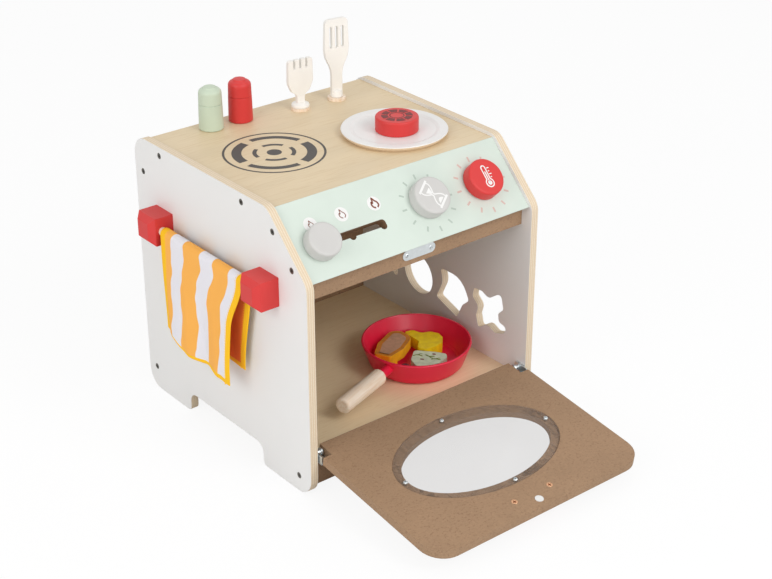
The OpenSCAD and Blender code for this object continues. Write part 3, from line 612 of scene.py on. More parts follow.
def on_slope(node):
    """Where a knob's axis meets the sloping face, and its matrix there."""
    low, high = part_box(node)
    place = slope()
    middle = place.inverted() @ ((low + high) / 2)
    return place @ Matrix.Translation((middle.x, middle.y, 0))


def knob_top(node):
    """The matrix on a knob's outer face."""
    place = on_slope(node)
    inverse = place.inverted()
    top = max((inverse @ v.co).z for v in NODES[node].data.vertices)
    return place @ Matrix.Translation((0, 0, top + LIFT))


def door_place():
    """The door's own frame: X across, Y towards its free edge, Z out of its inner face."""
    hinge = next(j for j in frame["joints"] if j["name"] == "door_hinge")
    opened = math.radians(hinge["range_deg"][1])
    turned = Matrix.Rotation(opened, 4, "X") @ facing((0, 1, 0))
    return Matrix.Translation(hinge["pos_m"]) @ turned


def merged_copy(node):
    """A copy of a node's loose triangles as one joined bmesh."""
    bm = bmesh.new()
    bm.from_mesh(NODES[node].data)
    bmesh.ops.remove_doubles(bm, verts=bm.verts, dist=2e-6)
    return bm


def solids_of(bm):
    """The separate solids of a merged mesh, as lists of vertices."""
    left = set(bm.verts)
    groups = []
    while left:
        group, todo = [], [left.pop()]
        while todo:
            v = todo.pop()
            group.append(v)
            for e in v.link_edges:
                w = e.other_vert(v)
                if w in left:
                    left.remove(w)
                    todo.append(w)
        groups.append(group)
    return groups


def heads_of(node, place):
    """Centre and radius of each screw head in the frame of place, whose Z leaves the head."""
    bm = merged_copy(node)
    inverse = place.inverted()
    heads = []
    for group in solids_of(bm):
        local = [inverse @ v.co for v in group]
        low = [min(p[k] for p in local) for k in range(3)]
        high = [max(p[k] for p in local) for k in range(3)]
        heads.append((Vector(((low[0] + high[0]) / 2, (low[1] + high[1]) / 2, high[2])),
                      (high[0] - low[0]) / 2))
    bm.free()
    return heads


def head_mesh(round_head):
    """A screw head of radius 1 with a cross recess; its top is at z = 0."""
    bm = bmesh.new()
    arm, wide, deep, taper = 0.6468, 0.16, 0.6, 0.7
    sides = 24
    if round_head:
        rims = ((0.80, -0.12), (0.97, -0.22), (1.0, -0.42), (1.0, -0.82))
    else:
        rims = ((0.93, 0.0), (1.0, -0.06), (0.52, -0.8))
    cross = [Matrix.Rotation(quarter * math.pi / 2, 2) @ Vector(p) for quarter in range(4)
             for p in ((wide, wide), (wide, arm), (-wide, arm))]
    rings = [[bm.verts.new((x, y, z)) for x, y in arc(0, 0, r, r, sides)] for r, z in rims]
    mouth = [bm.verts.new((p.x, p.y, 0)) for p in cross]
    pit = [bm.verts.new((p.x * taper, p.y * taper, -deep)) for p in cross]
    for a, b in zip(rings, rings[1:]):
        for i in range(sides):
            bm.faces.new((a[i], a[(i + 1) % sides], b[(i + 1) % sides], b[i]))
    bm.faces.new(rings[-1][::-1])
    for i in range(len(cross)):
        j = (i + 1) % len(cross)
        bm.faces.new((mouth[i], mouth[j], pit[j], pit[i]))
    bm.faces.new(pit)
    edges = [bm.edges.get((ring[i], ring[(i + 1) % len(ring)]))
             for ring in (rings[0], mouth) for i in range(len(ring))]
    bmesh.ops.triangle_fill(bm, edges=edges, use_beauty=True)
    return mesh_from(bm, "screw_head")


def socket_id(tree, name):
    """The identifier of a tree's named input."""
    return next(s.identifier for s in tree.interface.items_tree
                if s.item_type == "SOCKET" and s.in_out == "INPUT" and s.name == name)


class Tree:
    """A Geometry Nodes tree with named inputs."""

    def __init__(self, name, **inputs):
        self.tree = bpy.data.node_groups.new(name, "GeometryNodeTree")
        face = self.tree.interface
        face.new_socket("Geometry", in_out="INPUT", socket_type="NodeSocketGeometry")
        face.new_socket("Geometry", in_out="OUTPUT", socket_type="NodeSocketGeometry")
        for label, kind in inputs.items():
            face.new_socket(label, in_out="INPUT", socket_type=f"NodeSocket{kind}")
        self.start = self.tree.nodes.new("NodeGroupInput")
        self.end = self.tree.nodes.new("NodeGroupOutput")

    def node(self, kind, settings=None, sockets=None):
        """Adds a node: its settings first, then the values or links of its sockets."""
        made = self.tree.nodes.new(kind)
        for name, value in (settings or {}).items():
            setattr(made, name, value)
        for name, value in (sockets or {}).items():
            if isinstance(value, bpy.types.NodeSocket):
                self.tree.links.new(value, made.inputs[name])
            else:
                made.inputs[name].default_value = value
        return made

    def given(self, name):
        """The socket of one of the tree's inputs."""
        return self.start.outputs[name]

    def finish(self, geometry):
        """Realizes the instances, sets the material and ends the tree."""
        real = self.node("GeometryNodeRealizeInstances", None, {"Geometry": geometry})
        done = self.node("GeometryNodeSetMaterial", None,
                         {"Geometry": real.outputs[0], "Material": self.given("Material")})
        self.tree.links.new(done.outputs[0], self.end.inputs[0])

    def run(self, points, place, edges=(), **values):
        """Runs the tree on points and edges and returns a plain mesh put by place."""
        seeds = bpy.data.meshes.new("points")
        seeds.from_pydata([tuple(p) for p in points], edges, [])
        holder = bpy.data.objects.new("holder", seeds)
        bpy.context.scene.collection.objects.link(holder)
        modifier = holder.modifiers.new("tree", "NODES")
        modifier.node_group = self.tree
        for name, value in values.items():
            modifier[socket_id(self.tree, name)] = value
        bpy.context.view_layer.update()
        graph = bpy.context.evaluated_depsgraph_get()
        mesh = bpy.data.meshes.new_from_object(holder.evaluated_get(graph), depsgraph=graph)
        bpy.data.objects.remove(holder)
        mesh.transform(place)
        mesh.materials.clear()
        return mesh


def screw_tree():
    """Puts a head on each point, each turned by chance about its own axis."""
    t = Tree("screws", Head="Object", Radius="Float", Seed="Int", Material="Material")
    head = t.node("GeometryNodeObjectInfo", {"transform_space": "ORIGINAL"},
                  {"Object": t.given("Head")})
    turn = t.node("FunctionNodeRandomValue", {"data_type": "FLOAT"},
                  {"Max": math.pi, "Seed": t.given("Seed")})
    spin = t.node("ShaderNodeCombineXYZ", None, {"Z": turn.outputs[1]})
    pins = t.node("GeometryNodeInstanceOnPoints", None, {
        "Points": t.given("Geometry"), "Instance": head.outputs["Geometry"],
        "Rotation": spin.outputs[0], "Scale": t.given("Radius")})
    t.finish(pins.outputs[0])
    return t


def tick_tree():
    """A ring of flat marks round each point, each along its radius."""
    t = Tree("ticks", Count="Int", Inner="Float", Length="Float", Width="Float",
             Thickness="Float", Material="Material")
    half = t.node("ShaderNodeMath", {"operation": "MULTIPLY_ADD"},
                  {0: t.given("Length"), 1: 0.5, 2: t.given("Inner")})
    ring = t.node("GeometryNodeMeshCircle", {"fill_type": "NONE"},
                  {"Vertices": t.given("Count"), "Radius": half.outputs[0]})
    size = t.node("ShaderNodeCombineXYZ", None, {
        "X": t.given("Length"), "Y": t.given("Width"), "Z": t.given("Thickness")})
    mark = t.node("GeometryNodeMeshCube", None, {"Size": size.outputs[0]})
    spot = t.node("GeometryNodeInputPosition")
    aim = t.node("FunctionNodeAlignRotationToVector", {"axis": "X", "pivot_axis": "Z"},
                 {"Vector": spot.outputs[0]})
    marks = t.node("GeometryNodeInstanceOnPoints", None, {
        "Points": ring.outputs[0], "Instance": mark.outputs["Mesh"],
        "Rotation": aim.outputs[0]})
    dials = t.node("GeometryNodeInstanceOnPoints", None, {
        "Points": t.given("Geometry"), "Instance": marks.outputs[0]})
    t.finish(dials.outputs[0])
    return t


def stitch_tree():
    """A short thread at each step of an edge chain, along that chain."""
    t = Tree("stitches", Step="Float", Length="Float", Radius="Float", Material="Material")
    line = t.node("GeometryNodeMeshToCurve", None, {"Mesh": t.given("Geometry")})
    steps = t.node("GeometryNodeResampleCurve", {"mode": "LENGTH"},
                   {"Curve": line.outputs[0], "Length": t.given("Step")})
    way = t.node("GeometryNodeInputTangent")
    aim = t.node("FunctionNodeAlignRotationToVector", {"axis": "Z"}, {"Vector": way.outputs[0]})
    thread = t.node("GeometryNodeMeshCylinder", None,
                    {"Vertices": 6, "Radius": t.given("Radius"), "Depth": t.given("Length")})
    put = t.node("GeometryNodeInstanceOnPoints", None, {
        "Points": steps.outputs[0], "Instance": thread.outputs["Mesh"],
        "Rotation": aim.outputs[0]})
    t.finish(put.outputs[0])
    return t


class OVEN_OT_panels(bpy.types.Operator):
    """Paints the side panels, the control panel, the top, the floor and the boards"""

    bl_idname = "oven.panels"
    bl_label = "Panels and boards"

    def execute(self, context):
        for side in ("left", "right"):
            finish_node(f"{side}_side_panel", painted_ply(side))
        finish_node("control_panel", painted_board())
        # The oven floor gets the top's wood decor 1.22 times lighter: painted light that brightens
        # the shaded floor inside the oven.
        for node, level in (("top_panel", 1.0), ("oven_floor", 1.22)):
            finish_node(node, decor(node, level))
        for node in ("back_panel", "front_rail", "kick_board", "door_panel"):
            finish_node(node, fibreboard())
        finish_node("door_window", clear_sheet())
        return {"FINISHED"}


class OVEN_OT_painted_parts(bpy.types.Operator):
    """Paints the knobs, the towel rail, the handle, the utensils and the table ware"""

    bl_idname = "oven.painted_parts"
    bl_label = "Painted parts"

    finishes = {
        "red": ("front_towel_block", "rear_towel_block", "door_handle", "temperature_knob",
                "red_shaker", "tomato_slice"),
        "grey": ("timer_knob", "slider_knob"),
        "white": ("door_magnet",),
        "utensil": ("fork", "spatula"),
        "shaker": ("mint_shaker",),
        "pan_red": ("pan_bowl",),
    }

    def execute(self, context):
        for name, nodes in self.finishes.items():
            for node in nodes:
                finish_node(node, paint(name, 0.34 if name == "pan_red" else 0.46))
        finish_node("plate", plate_paint())
        for node, axis in (("towel_rod", "y"), ("fork_socket", "z"), ("spatula_socket", "z"),
                           ("pan_handle", "grip"), ("slider_stem", "z"),
                           ("slider_retainer", "x")):
            finish_node(node, beech(axis))
        return {"FINISHED"}


class OVEN_OT_metal(bpy.types.Operator):
    """Plates the brackets, pivots, spindles, nuts and the strike plate"""

    bl_idname = "oven.metal"
    bl_label = "Metal parts"

    def execute(self, context):
        bright = ("strike_plate", "left_hinge_bracket", "right_hinge_bracket", "pivot_washers",
                  "pivot_screws")
        plain = ("timer_spindle", "timer_nut", "temperature_spindle", "temperature_nut",
                 "pan_stud")
        for node in bright:
            finish_node(node, steel("steel", 0.3))
        for node in plain:
            finish_node(node, steel("screw", 0.34))
        return {"FINISHED"}


class OVEN_OT_screws(bpy.types.Operator):
    """Puts a head with a cross recess in place of each wood screw"""

    bl_idname = "oven.screws"
    bl_label = "Screws"

    def execute(self, context):
        left = facing((-1, 0, 0))
        right = facing((1, 0, 0))
        front = facing((0, -1, 0))
        inner = door_place()
        outer = inner @ Matrix.Rotation(math.pi, 4, "X")
        groups = (("left_side_screws", left, False, "screw", "cabinet"),
                  ("right_side_screws", right, False, "screw", "cabinet"),
                  ("towel_block_screws", right, False, "screw", "cabinet"),
                  ("strike_screws", front, True, "steel", "cabinet"),
                  ("window_screws", inner, True, "steel", "door"),
                  ("handle_screws", inner, False, "copper", "door"),
                  ("bracket_screws", outer, True, "steel", "door"))
        shapes = {}
        for round_head in (False, True):
            shapes[round_head] = bpy.data.objects.new("head", head_mesh(round_head))
            bpy.context.scene.collection.objects.link(shapes[round_head])
        tree = screw_tree()
        for seed, (node, place, round_head, plating, body) in enumerate(groups):
            heads = heads_of(node, place)
            metal = steel(plating, 0.3 if round_head else 0.34)
            mesh = tree.run([spot for spot, _ in heads], place, Head=shapes[round_head],
                            Radius=heads[0][1], Seed=seed, Material=metal)
            piece = new_piece(f"{node}_heads", mesh, body, "steel", metal)
            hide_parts(node)
        for shape in shapes.values():
            bpy.data.objects.remove(shape)
        return {"FINISHED"}


class OVEN_OT_burner(bpy.types.Operator):
    """Prints the burner rings on the top"""

    bl_idname = "oven.burner"
    bl_label = "Burner print"

    spot: FloatVectorProperty(
        name="Place", description="Middle of the print, right of and behind the front middle",
        default=(-0.0604, 0.1732), size=2, unit="LENGTH")

    def execute(self, context):
        sizes = context.scene.oven_sizes
        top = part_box("top_panel")[1].z
        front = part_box("left_side_panel")[0].y
        place = Matrix.Translation((self.spot[0], front + self.spot[1], top + LIFT))
        bm = bmesh.new()

        def ring(inner, outer, middle, sweep, steps):
            r = sizes.burner_d / 2
            band(bm, r * inner, r * outer, middle - sweep / 2, sweep, sizes.print_t, place, steps)

        ring(0.955, 1.0, 180, 360, 96)
        for quarter in range(4):
            narrow = quarter % 2
            ring(0.695 if narrow else 0.63, 0.82, 90 * quarter - 36, 76, 28)
        for quarter in range(4):
            ring(0.34, 0.42, 90 * quarter - 30, 62, 18)
        ring(0.002, 0.145, 180, 360, 32)
        new_piece("burner_print", bm, "cabinet", "wood_decor", printed("print_dark"))
        return {"FINISHED"}


def flame(high):
    """An open line round a plain flame, from the right of its foot over its tip to the left."""
    lean = -0.25
    points = ((0.10, -0.46), (0.36, -0.24), (0.36, 0.06), (0.22, 0.26), (0.10, 0.54),
              (-0.04, 0.20), (-0.14, 0.06), (-0.20, 0.16), (-0.34, -0.10), (-0.28, -0.34),
              (-0.10, -0.46))
    return [((x + lean * y) * high, y * high) for x, y in curve_through(points)]


class OVEN_OT_panel_prints(bpy.types.Operator):
    """Puts the tick marks, the round labels and their flames on the control panel"""

    bl_idname = "oven.panel_prints"
    bl_label = "Panel prints"

    ticks_up: FloatProperty(name="Ticks up the slope", description="Off the knob's axis",
                            default=-0.0025, unit="LENGTH")
    label_up: FloatProperty(name="Labels up the slope", description="Over the slider's track",
                            default=0.0215, unit="LENGTH")
    label_x: FloatVectorProperty(name="Labels", description="Labels from the middle",
                                 default=(-0.1115, -0.0740, -0.0336), size=3, unit="LENGTH")
    # Height and line width of the flame on each label
    flames = ((0.0076, 0.0007), (0.0092, 0.0009), (0.0106, 0.0017))

    def execute(self, context):
        sizes = context.scene.oven_sizes
        ticks = tick_tree()
        for knob, ink in (("timer_knob", "print_tick"), ("temperature_knob", "print_warm")):
            place = on_slope(knob) @ Matrix.Translation((0, self.ticks_up, LIFT))
            mesh = ticks.run([(0, 0, 0)], place, Count=sizes.ticks, Inner=sizes.tick_in,
                             Length=sizes.tick_len, Width=sizes.tick_w,
                             Thickness=sizes.print_t, Material=printed(ink))
            new_piece(f"{knob}_ticks", mesh, "cabinet", "mint_paint", printed(ink))
        track = slope().inverted() @ on_slope("slider_knob").translation
        labels = bmesh.new()
        flames = bmesh.new()
        r, label_t = sizes.label_d / 2, sizes.print_t * 1.5
        for x, (high, bold) in zip(self.label_x, self.flames):
            at = slope() @ Matrix.Translation((x, track.y + self.label_up, LIFT))
            prism(labels, arc(0, 0, r, r, 48), label_t, at)
            on = at @ Matrix.Translation((0, 0, label_t + LIFT))
            stroke(flames, flame(high), bold, sizes.print_t, on)
        new_piece("slot_labels", labels, "cabinet", "white_paint", printed("white"))
        new_piece("label_flames", flames, "cabinet", "white_paint", printed("flame"))
        return {"FINISHED"}


class OVEN_OT_knob_icons(bpy.types.Operator):
    """Prints an hourglass on the timer knob and a thermometer on the temperature knob"""

    bl_idname = "oven.knob_icons"
    bl_label = "Knob icons"

    def hourglass(self, place, wide, thick):
        """Two bars, two curved sides and two heaps of sand."""
        bm = bmesh.new()
        h, w = 0.0130, 0.0088
        for end in (1, -1):
            stroke(bm, [(-w, end * h), (w, end * h)], wide * 1.7, thick, place)
            for side in (1, -1):
                glass = ((side * w * 0.74, end * h * 0.93), (side * w * 0.76, end * h * 0.66),
                         (side * w * 0.52, end * h * 0.36), (side * w * 0.16, end * h * 0.10),
                         (side * w * 0.13, 0.0))
                stroke(bm, curve_through(glass), wide, thick, place)
        prism(bm, [(-w * 0.44, h * 0.56), (-w * 0.1, h * 0.14), (w * 0.1, h * 0.14),
                   (w * 0.44, h * 0.56)][::-1], thick, place)
        prism(bm, [(-w * 0.5, -h * 0.82), (-w * 0.3, -h * 0.62), (0, -h * 0.5),
                   (w * 0.3, -h * 0.62), (w * 0.5, -h * 0.82)][::-1], thick, place)
        return bm

    def thermometer(self, place, wide, thick):
        """A tube with a bulb, its column and four marks beside it."""
        bm = bmesh.new()
        h, w, bulb, drop, column = 0.0120, 0.0024, 0.0046, 0.00253, 0.0007
        foot, neck = bulb - h, bulb * 0.86
        low = math.atan2(neck, -w)
        outline = [(w, foot + neck), (w, h - w), *arc(0, h - w, w, w, 8, 0, math.pi)[1:],
                   (-w, h - w), (-w, foot + neck),
                   *arc(0, foot, bulb, bulb, 20, low, 3 * math.pi - 2 * low)[1:]]
        stroke(bm, outline, wide, thick, place, closed=True)
        prism(bm, arc(0, foot, drop, drop, 24), thick, place)
        prism(bm, [(-column, foot), (column, foot), (column, h * 0.45), (-column, h * 0.45)],
              thick, place)
        for k in range(4):
            y = h * 0.7 - k * 0.0034
            stroke(bm, [(w + 0.0016, y), (w + 0.0046 - (k % 2) * 0.0012, y)], wide * 0.8, thick,
                   place)
        return bm

    def execute(self, context):
        sizes = context.scene.oven_sizes
        turned = knob_top("timer_knob") @ Matrix.Rotation(math.radians(38), 4, "Z")
        bm = self.hourglass(turned, sizes.icon_w * 1.3, sizes.print_t)
        new_piece("timer_icon", bm, "timer_dial", "white_paint", printed("white"))
        bm = self.thermometer(knob_top("temperature_knob"), sizes.icon_w * 1.2, sizes.print_t)
        new_piece("temperature_icon", bm, "temperature_dial", "white_paint", printed("white"))
        return {"FINISHED"}


def top_face(node, inset, lift):
    """A thin copy of a node's upper face, drawn in by inset, as a bmesh."""
    bm = merged_copy(node)
    high = max(v.co.z for v in bm.verts)
    rest = [f for f in bm.faces if f.normal.z < 0.9 or f.calc_center_median().z < high - 1e-5]
    bmesh.ops.delete(bm, geom=rest, context="FACES")
    bmesh.ops.dissolve_faces(bm, faces=bm.faces)
    ring = [v.co.copy() for v in next(iter(bm.faces)).verts]
    bm.free()
    out = bmesh.new()
    base = out.faces.new([out.verts.new(p) for p in ring])
    out.normal_update()
    made = bmesh.ops.inset_region(out, faces=[base], thickness=inset, use_boundary=True,
                                   use_even_offset=True)
    bmesh.ops.delete(out, geom=made["faces"], context="FACES")
    loose = [v for v in out.verts if not v.link_faces]
    bmesh.ops.delete(out, geom=loose, context="VERTS")
    grown = bmesh.ops.extrude_face_region(out, geom=list(out.faces))
    up = Vector((0, 0, lift))
    bmesh.ops.translate(out, verts=[v for v in grown["geom"] if isinstance(v, bmesh.types.BMVert)],
                        vec=up)
    return out


class OVEN_OT_food(bpy.types.Operator):
    """Paints the play food and prints its slices"""

    bl_idname = "oven.food"
    bl_label = "Play food"

    def execute(self, context):
        print_t = context.scene.oven_sizes.print_t
        for node in ("toast_slab", "wavy_slice", "leaf_slice", "orange_wedge", "purple_round"):
            finish_node(node, food(node))
        for name, inset, lift in (("toast_crust", 0.7, 0.1), ("toast_crumb", 5.2, 0.2)):
            layer = top_face("toast_slab", inset * MM, lift * MM)
            new_piece(name, layer, "toast_slab", "toast_orange", food(name, 0.7))
        self.herbs(print_t)
        self.tomato(print_t)
        return {"FINISHED"}

    def herbs(self, print_t):
        """Short strokes like cut herbs and two dark seeds on the pale slice."""
        low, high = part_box("leaf_slice")
        mid = (low + high) / 2
        place = Matrix.Translation((mid.x, mid.y, high.z + LIFT))
        place = place @ Matrix.Rotation(math.radians(-52), 4, "Z")
        bm = bmesh.new()
        for x, y, bend in ((-10, 1, 1.6), (3, 2.5, -1.6), (11, -3, 1.2)):
            fork = (x, y + bend * 0.6)
            line = in_mm((x - 5, y - bend), fork, (x + 5.5, y - bend * 0.4))
            side = in_mm(fork, (x + 2, y + bend * 2.2), (x + 4.6, y + bend * 2.6))
            stroke(bm, curve_through(line), 1.7 * MM, print_t, place)
            stroke(bm, curve_through(side), 1.2 * MM, print_t, place)
        new_piece("leaf_veins", bm, "leaf_slice", "leaf_green", food("veins", 0.8))
        bm = bmesh.new()
        for x, y in in_mm((-3.5, -6.5), (7, 7.5)):
            prism(bm, arc(x, y, 2.4 * MM, 1.3 * MM, 20), print_t, place)
        new_piece("leaf_seeds", bm, "leaf_slice", "leaf_green", food("seeds"))

    def tomato(self, print_t):
        """Eight chambers round a ring on the tomato slice."""
        low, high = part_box("tomato_slice")
        r = (high.x - low.x) / 2
        place = Matrix.Translation(((low.x + high.x) / 2, (low.y + high.y) / 2, high.z + LIFT))
        bm = bmesh.new()
        for k in range(8):
            band(bm, r * 0.42, r * 0.72, k * 45 + 4, 37, print_t, place, 8)
        band(bm, r * 0.30, r * 0.35, 0, 360, print_t, place, 48)
        new_piece("tomato_print", bm, "tomato_slice", "red_paint", food("tomato_core"))


def eased(k):
    """A soft step from 0 to 1."""
    return k * k * (3 - 2 * k)


def wave(v, high, count, shift):
    """A wave with count crests as v runs from 0 to 1."""
    return high * math.sin(2 * math.pi * count * v + shift)


class OVEN_OT_towel(bpy.types.Operator):
    """Hangs the striped towel over its rod, with a stitched hem"""

    bl_idname = "oven.towel"
    bl_label = "Towel"

    columns: IntProperty(name="Columns", description="Columns across the towel", default=72)
    draw_front: length("Drawn in", 0.017, "How far the front edge of the outer leg draws in")
    draw_inner: length("Inner leg", 0.016, "How far the front edge of the inner leg draws in")
    caught: length("Caught up", 0.013, "How far the outer leg's rear corner is caught up")

    def path(self):
        """Stations over the rod: (x, z), outward direction, place along the leg."""
        rod_low, rod_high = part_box("towel_rod")
        low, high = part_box("towel")
        rod = Vector(((rod_low.x + rod_high.x) / 2, (rod_low.z + rod_high.z) / 2))
        over, swing, shorter = 1.1 * MM, 5 * MM, 12 * MM
        r = (rod_high.x - rod_low.x) / 2 + over
        front = rod.y - low.z
        rear = front - shorter
        steps, turns = 44, 16
        stations = []
        for i in range(steps):
            k = 1 - i / steps
            stations.append((Vector((rod.x - r - swing * eased(k), rod.y - k * front)),
                             Vector((-1, 0)), k))
        for i in range(turns + 1):
            a = math.pi * (1 - i / turns)
            way = Vector((math.cos(a), math.sin(a)))
            stations.append((rod + r * way, way, 0.0))
        for i in range(1, steps + 1):
            k = i / steps
            stations.append((Vector((rod.x + r, rod.y - k * rear)), Vector((1, 0)), -k))
        return stations, low.y, high.y

    def fold(self, k, v):
        """How far the sheet stands out from its plain path."""
        if k < 0:
            return eased(-k) * (wave(v, 0.7, 1.4, -1.05) + 0.8) * MM
        folds = wave(v, 3.3, 1.6, 0.7) + wave(v, 1.1, 3.3, 2.6 * k)
        ripple = wave(v, 0.25, 7.3, 5 * k)
        return eased(k) * (folds + ripple) * MM

    def side(self, k, v, y0, y1):
        """Place along the rod: the legs draw in below it, most at the front edge."""
        in0 = self.draw_front * eased(min(1, 2.2 * k)) if k >= 0 else self.draw_inner * eased(-k)
        in1 = 4.5 * MM * eased(k) if k >= 0 else 3 * MM * eased(-k)
        return (y0 + in0) * (1 - v) + (y1 - in1) * v

    def rise(self, k, v):
        """How far the rear lower corner of the outer leg is caught up."""
        return self.caught * eased(k) * eased((v - 0.55) / 0.45) if k > 0 and v > 0.55 else 0

    def execute(self, context):
        sizes = context.scene.oven_sizes
        stations, y0, y1 = self.path()
        bm = bmesh.new()
        layer = bm.loops.layers.uv.new("flat")
        rows = []
        along = []
        run = 0.0
        for i, (spot, way, k) in enumerate(stations):
            if i:
                run += (spot - stations[i - 1][0]).length
            along.append(run)
            row = []
            for j in range(self.columns + 1):
                v = j / self.columns
                p = spot + way * self.fold(k, v)
                row.append(bm.verts.new((p.x, self.side(k, v, y0, y1), p.y + self.rise(k, v))))
            rows.append(row)
        flat = (y1 - y0, run)
        for i in range(len(rows) - 1):
            for j in range(self.columns):
                spots = ((j, i), (j, i + 1), (j + 1, i + 1), (j + 1, i))
                face = bm.faces.new([rows[b][a] for a, b in spots])
                for loop, (a, b) in zip(face.loops, spots):
                    loop[layer].uv = (a / self.columns * (y1 - y0), along[b])
        seams = self.seam_lines(rows, sizes.hem_w)
        bm.normal_update()
        mesh = bpy.data.meshes.new("towel_cloth")
        bm.to_mesh(mesh)
        bm.free()
        piece = new_piece("towel_cloth", mesh, "towel", "towel_cloth", cloth("face", flat),
                          cloth("back", flat), smooth=True)
        solid = piece.modifiers.new("thickness", "SOLIDIFY")
        solid.thickness = sizes.cloth_t
        solid.offset = 0
        solid.material_offset = 1
        solid.material_offset_rim = 0
        soft = piece.modifiers.new("soft", "SUBSURF")
        soft.levels = soft.render_levels = 1
        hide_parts("towel")
        threads = self.stitches(seams, sizes)
        return {"FINISHED"}

    def seam_lines(self, rows, hem_w):
        """The points of the two side seams, in the middle of the cloth."""
        width = rows[0][-1].co.y - rows[0][0].co.y
        first = round(hem_w / width * self.columns)
        return [[row[j].co.copy() for row in rows] for j in (first, self.columns - first)]

    def stitches(self, lines, sizes):
        """Threads along the seams, thick enough to stand out of both sides of the cloth."""
        count = len(lines[0])
        points = [p for line in lines for p in line]
        edges = [(i, i + 1) for i in range(len(points) - 1) if (i + 1) % count]
        thread = printed("hem")
        mesh = stitch_tree().run(points, Matrix.Identity(4), edges, Step=sizes.stitch_step,
                                 Length=sizes.stitch_step * 0.66, Radius=sizes.cloth_t * 0.62,
                                 Material=thread)
        return new_piece("towel_stitches", mesh, "towel", "towel_cloth", thread)


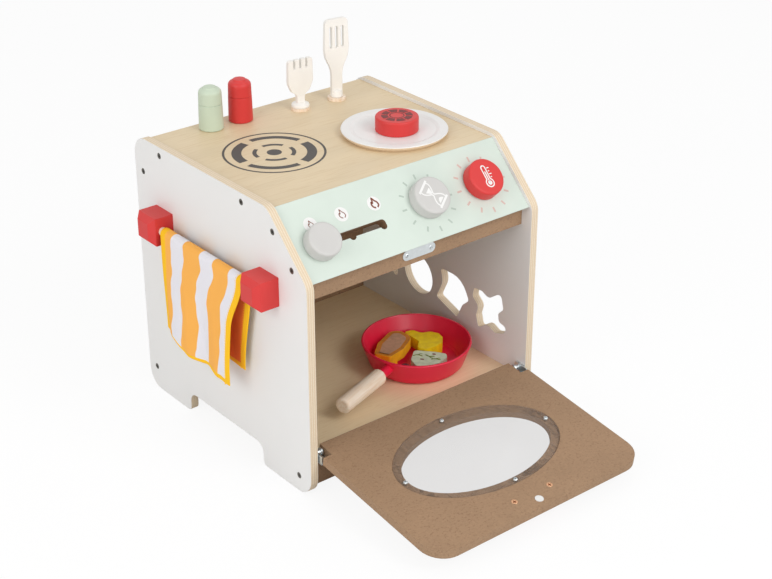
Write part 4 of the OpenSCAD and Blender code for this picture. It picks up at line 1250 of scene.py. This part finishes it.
class OVEN_OT_stage(bpy.types.Operator):
    """Lays the pale floor and sets the lamps, the world and the camera"""

    bl_idname = "oven.stage"
    bl_label = "Stage"

    camera_at: FloatVectorProperty(
        name="Camera", description="Place of the camera", size=3, unit="LENGTH",
        default=(-0.9704, -1.2791, 0.9574))
    camera_way: FloatVectorProperty(
        name="View", description="Direction of view", size=3, default=(0.55986, 0.68966, -0.45926))
    lens: FloatProperty(name="Lens", description="Focal length in millimetres", default=77.99)
    # Name, place, height aimed at over the origin, diameter in metres and power in watts
    lamps = (("key", (0.45, -1.7, 1.6), 0.12, 0.9, 14),
             ("front", (-0.4, -2.1, 0.8), 0.12, 1.0, 6),
             ("left", (-2.0, -0.5, 1.1), 0.15, 1.6, 15.5),
             ("above", (0.3, 0.6, 2.1), 0.2, 1.5, 3))

    def floor(self):
        """A pale floor that the camera sees as white, with the object's shadow."""
        bm = bmesh.new()
        bmesh.ops.create_circle(bm, cap_ends=True, segments=64, radius=6)
        mesh = mesh_from(bm, "floor")
        f = Finish("stage_floor", Roughness=0.9)
        white_share = 0.88
        cloud = f.noise(f.place(), 900, 2)
        f.set(Base_Color=f.mix(cloud, (0.80, 0.80, 0.80), (0.82, 0.82, 0.82)))
        glow = f.tree.nodes.new("ShaderNodeEmission")
        glow.inputs["Strength"].default_value = 1.02
        seen = f.node("ShaderNodeLightPath", out="Is Camera Ray")
        blend = f.tree.nodes.new("ShaderNodeMixShader")
        f.link(blend.inputs[0], seen * white_share)
        f.tree.links.new(f.shader.outputs[0], blend.inputs[1])
        f.tree.links.new(glow.outputs[0], blend.inputs[2])
        f.tree.links.new(blend.outputs[0], f.tree.nodes["Material Output"].inputs["Surface"])
        mesh.materials.append(f.material)
        floor = bpy.data.objects.new("stage_floor", mesh)
        bpy.context.scene.collection.objects.link(floor)

    def lamp(self, name, at, aim, size, power):
        """A round soft lamp that faces a point over the origin."""
        data = bpy.data.lights.new(name, "AREA")
        data.shape = "DISK"
        data.size = size
        data.energy = power
        lamp = bpy.data.objects.new(name, data)
        lamp.matrix_world = facing(Vector(at) - Vector((0, 0, aim)), at)
        bpy.context.scene.collection.objects.link(lamp)

    def execute(self, context):
        scene = context.scene
        self.floor()
        for lamp in self.lamps:
            self.lamp(*lamp)
        scene.world = self.studio()
        scene.view_settings.view_transform = "Standard"
        lens = bpy.data.cameras.new("camera")
        lens.lens = self.lens
        lens.sensor_width = 36
        lens.clip_end = 50
        camera = bpy.data.objects.new("camera", lens)
        camera.matrix_world = facing(-Vector(self.camera_way), self.camera_at)
        scene.collection.objects.link(camera)
        scene.camera = camera
        return {"FINISHED"}

    def studio(self):
        """A world that lights at a plain level, and looks white to the camera and in gloss."""
        light = 0.60
        world = bpy.data.worlds.new("studio")
        world.use_nodes = True
        tree = world.node_tree
        sky = tree.nodes["Background"]
        sky.inputs["Color"].default_value = (1, 1, 1, 1)
        path = tree.nodes.new("ShaderNodeLightPath")
        seen = tree.nodes.new("ShaderNodeMath")
        seen.operation = "MAXIMUM"
        tree.links.new(path.outputs["Is Camera Ray"], seen.inputs[0])
        tree.links.new(path.outputs["Is Glossy Ray"], seen.inputs[1])
        level = tree.nodes.new("ShaderNodeMath")
        level.operation = "MULTIPLY_ADD"
        level.inputs[1].default_value = 1 - light
        level.inputs[2].default_value = light
        tree.links.new(seen.outputs[0], level.inputs[0])
        tree.links.new(level.outputs[0], sky.inputs["Strength"])
        return world


OPERATORS = (OVEN_OT_stage, OVEN_OT_panels, OVEN_OT_painted_parts, OVEN_OT_metal,
             OVEN_OT_screws, OVEN_OT_burner, OVEN_OT_panel_prints, OVEN_OT_knob_icons,
             OVEN_OT_food, OVEN_OT_towel)


class OVEN_PT_dressing(bpy.types.Panel):
    """Lists the steps of the dressing and its sizes and colours"""

    bl_idname = "OVEN_PT_dressing"
    bl_label = "Toy Oven"
    bl_space_type = "VIEW_3D"
    bl_region_type = "UI"
    bl_category = "Toy Oven"

    def draw(self, context):
        for step in OPERATORS:
            self.layout.operator(step.bl_idname)
        for group in (context.scene.oven_sizes, context.scene.oven_colours):
            for name in group.bl_rna.properties.keys():
                if name not in ("rna_type", "name"):
                    self.layout.prop(group, name)


CLASSES = (OvenColours, OvenSizes, *OPERATORS, OVEN_PT_dressing)


def register():
    """Registers the classes and puts the sizes and colours on the scene."""
    for cls in CLASSES:
        bpy.utils.register_class(cls)
    bpy.types.Scene.oven_colours = PointerProperty(type=OvenColours)
    bpy.types.Scene.oven_sizes = PointerProperty(type=OvenSizes)


def unregister():
    """Takes them off again."""
    del bpy.types.Scene.oven_sizes
    del bpy.types.Scene.oven_colours
    for cls in reversed(CLASSES):
        bpy.utils.unregister_class(cls)


def main():
    """Runs every step in order."""
    register()
    for step in OPERATORS:
        group, name = step.bl_idname.split(".")
        getattr(getattr(bpy.ops, group), name)()


if __name__ == "__main__":
    main()
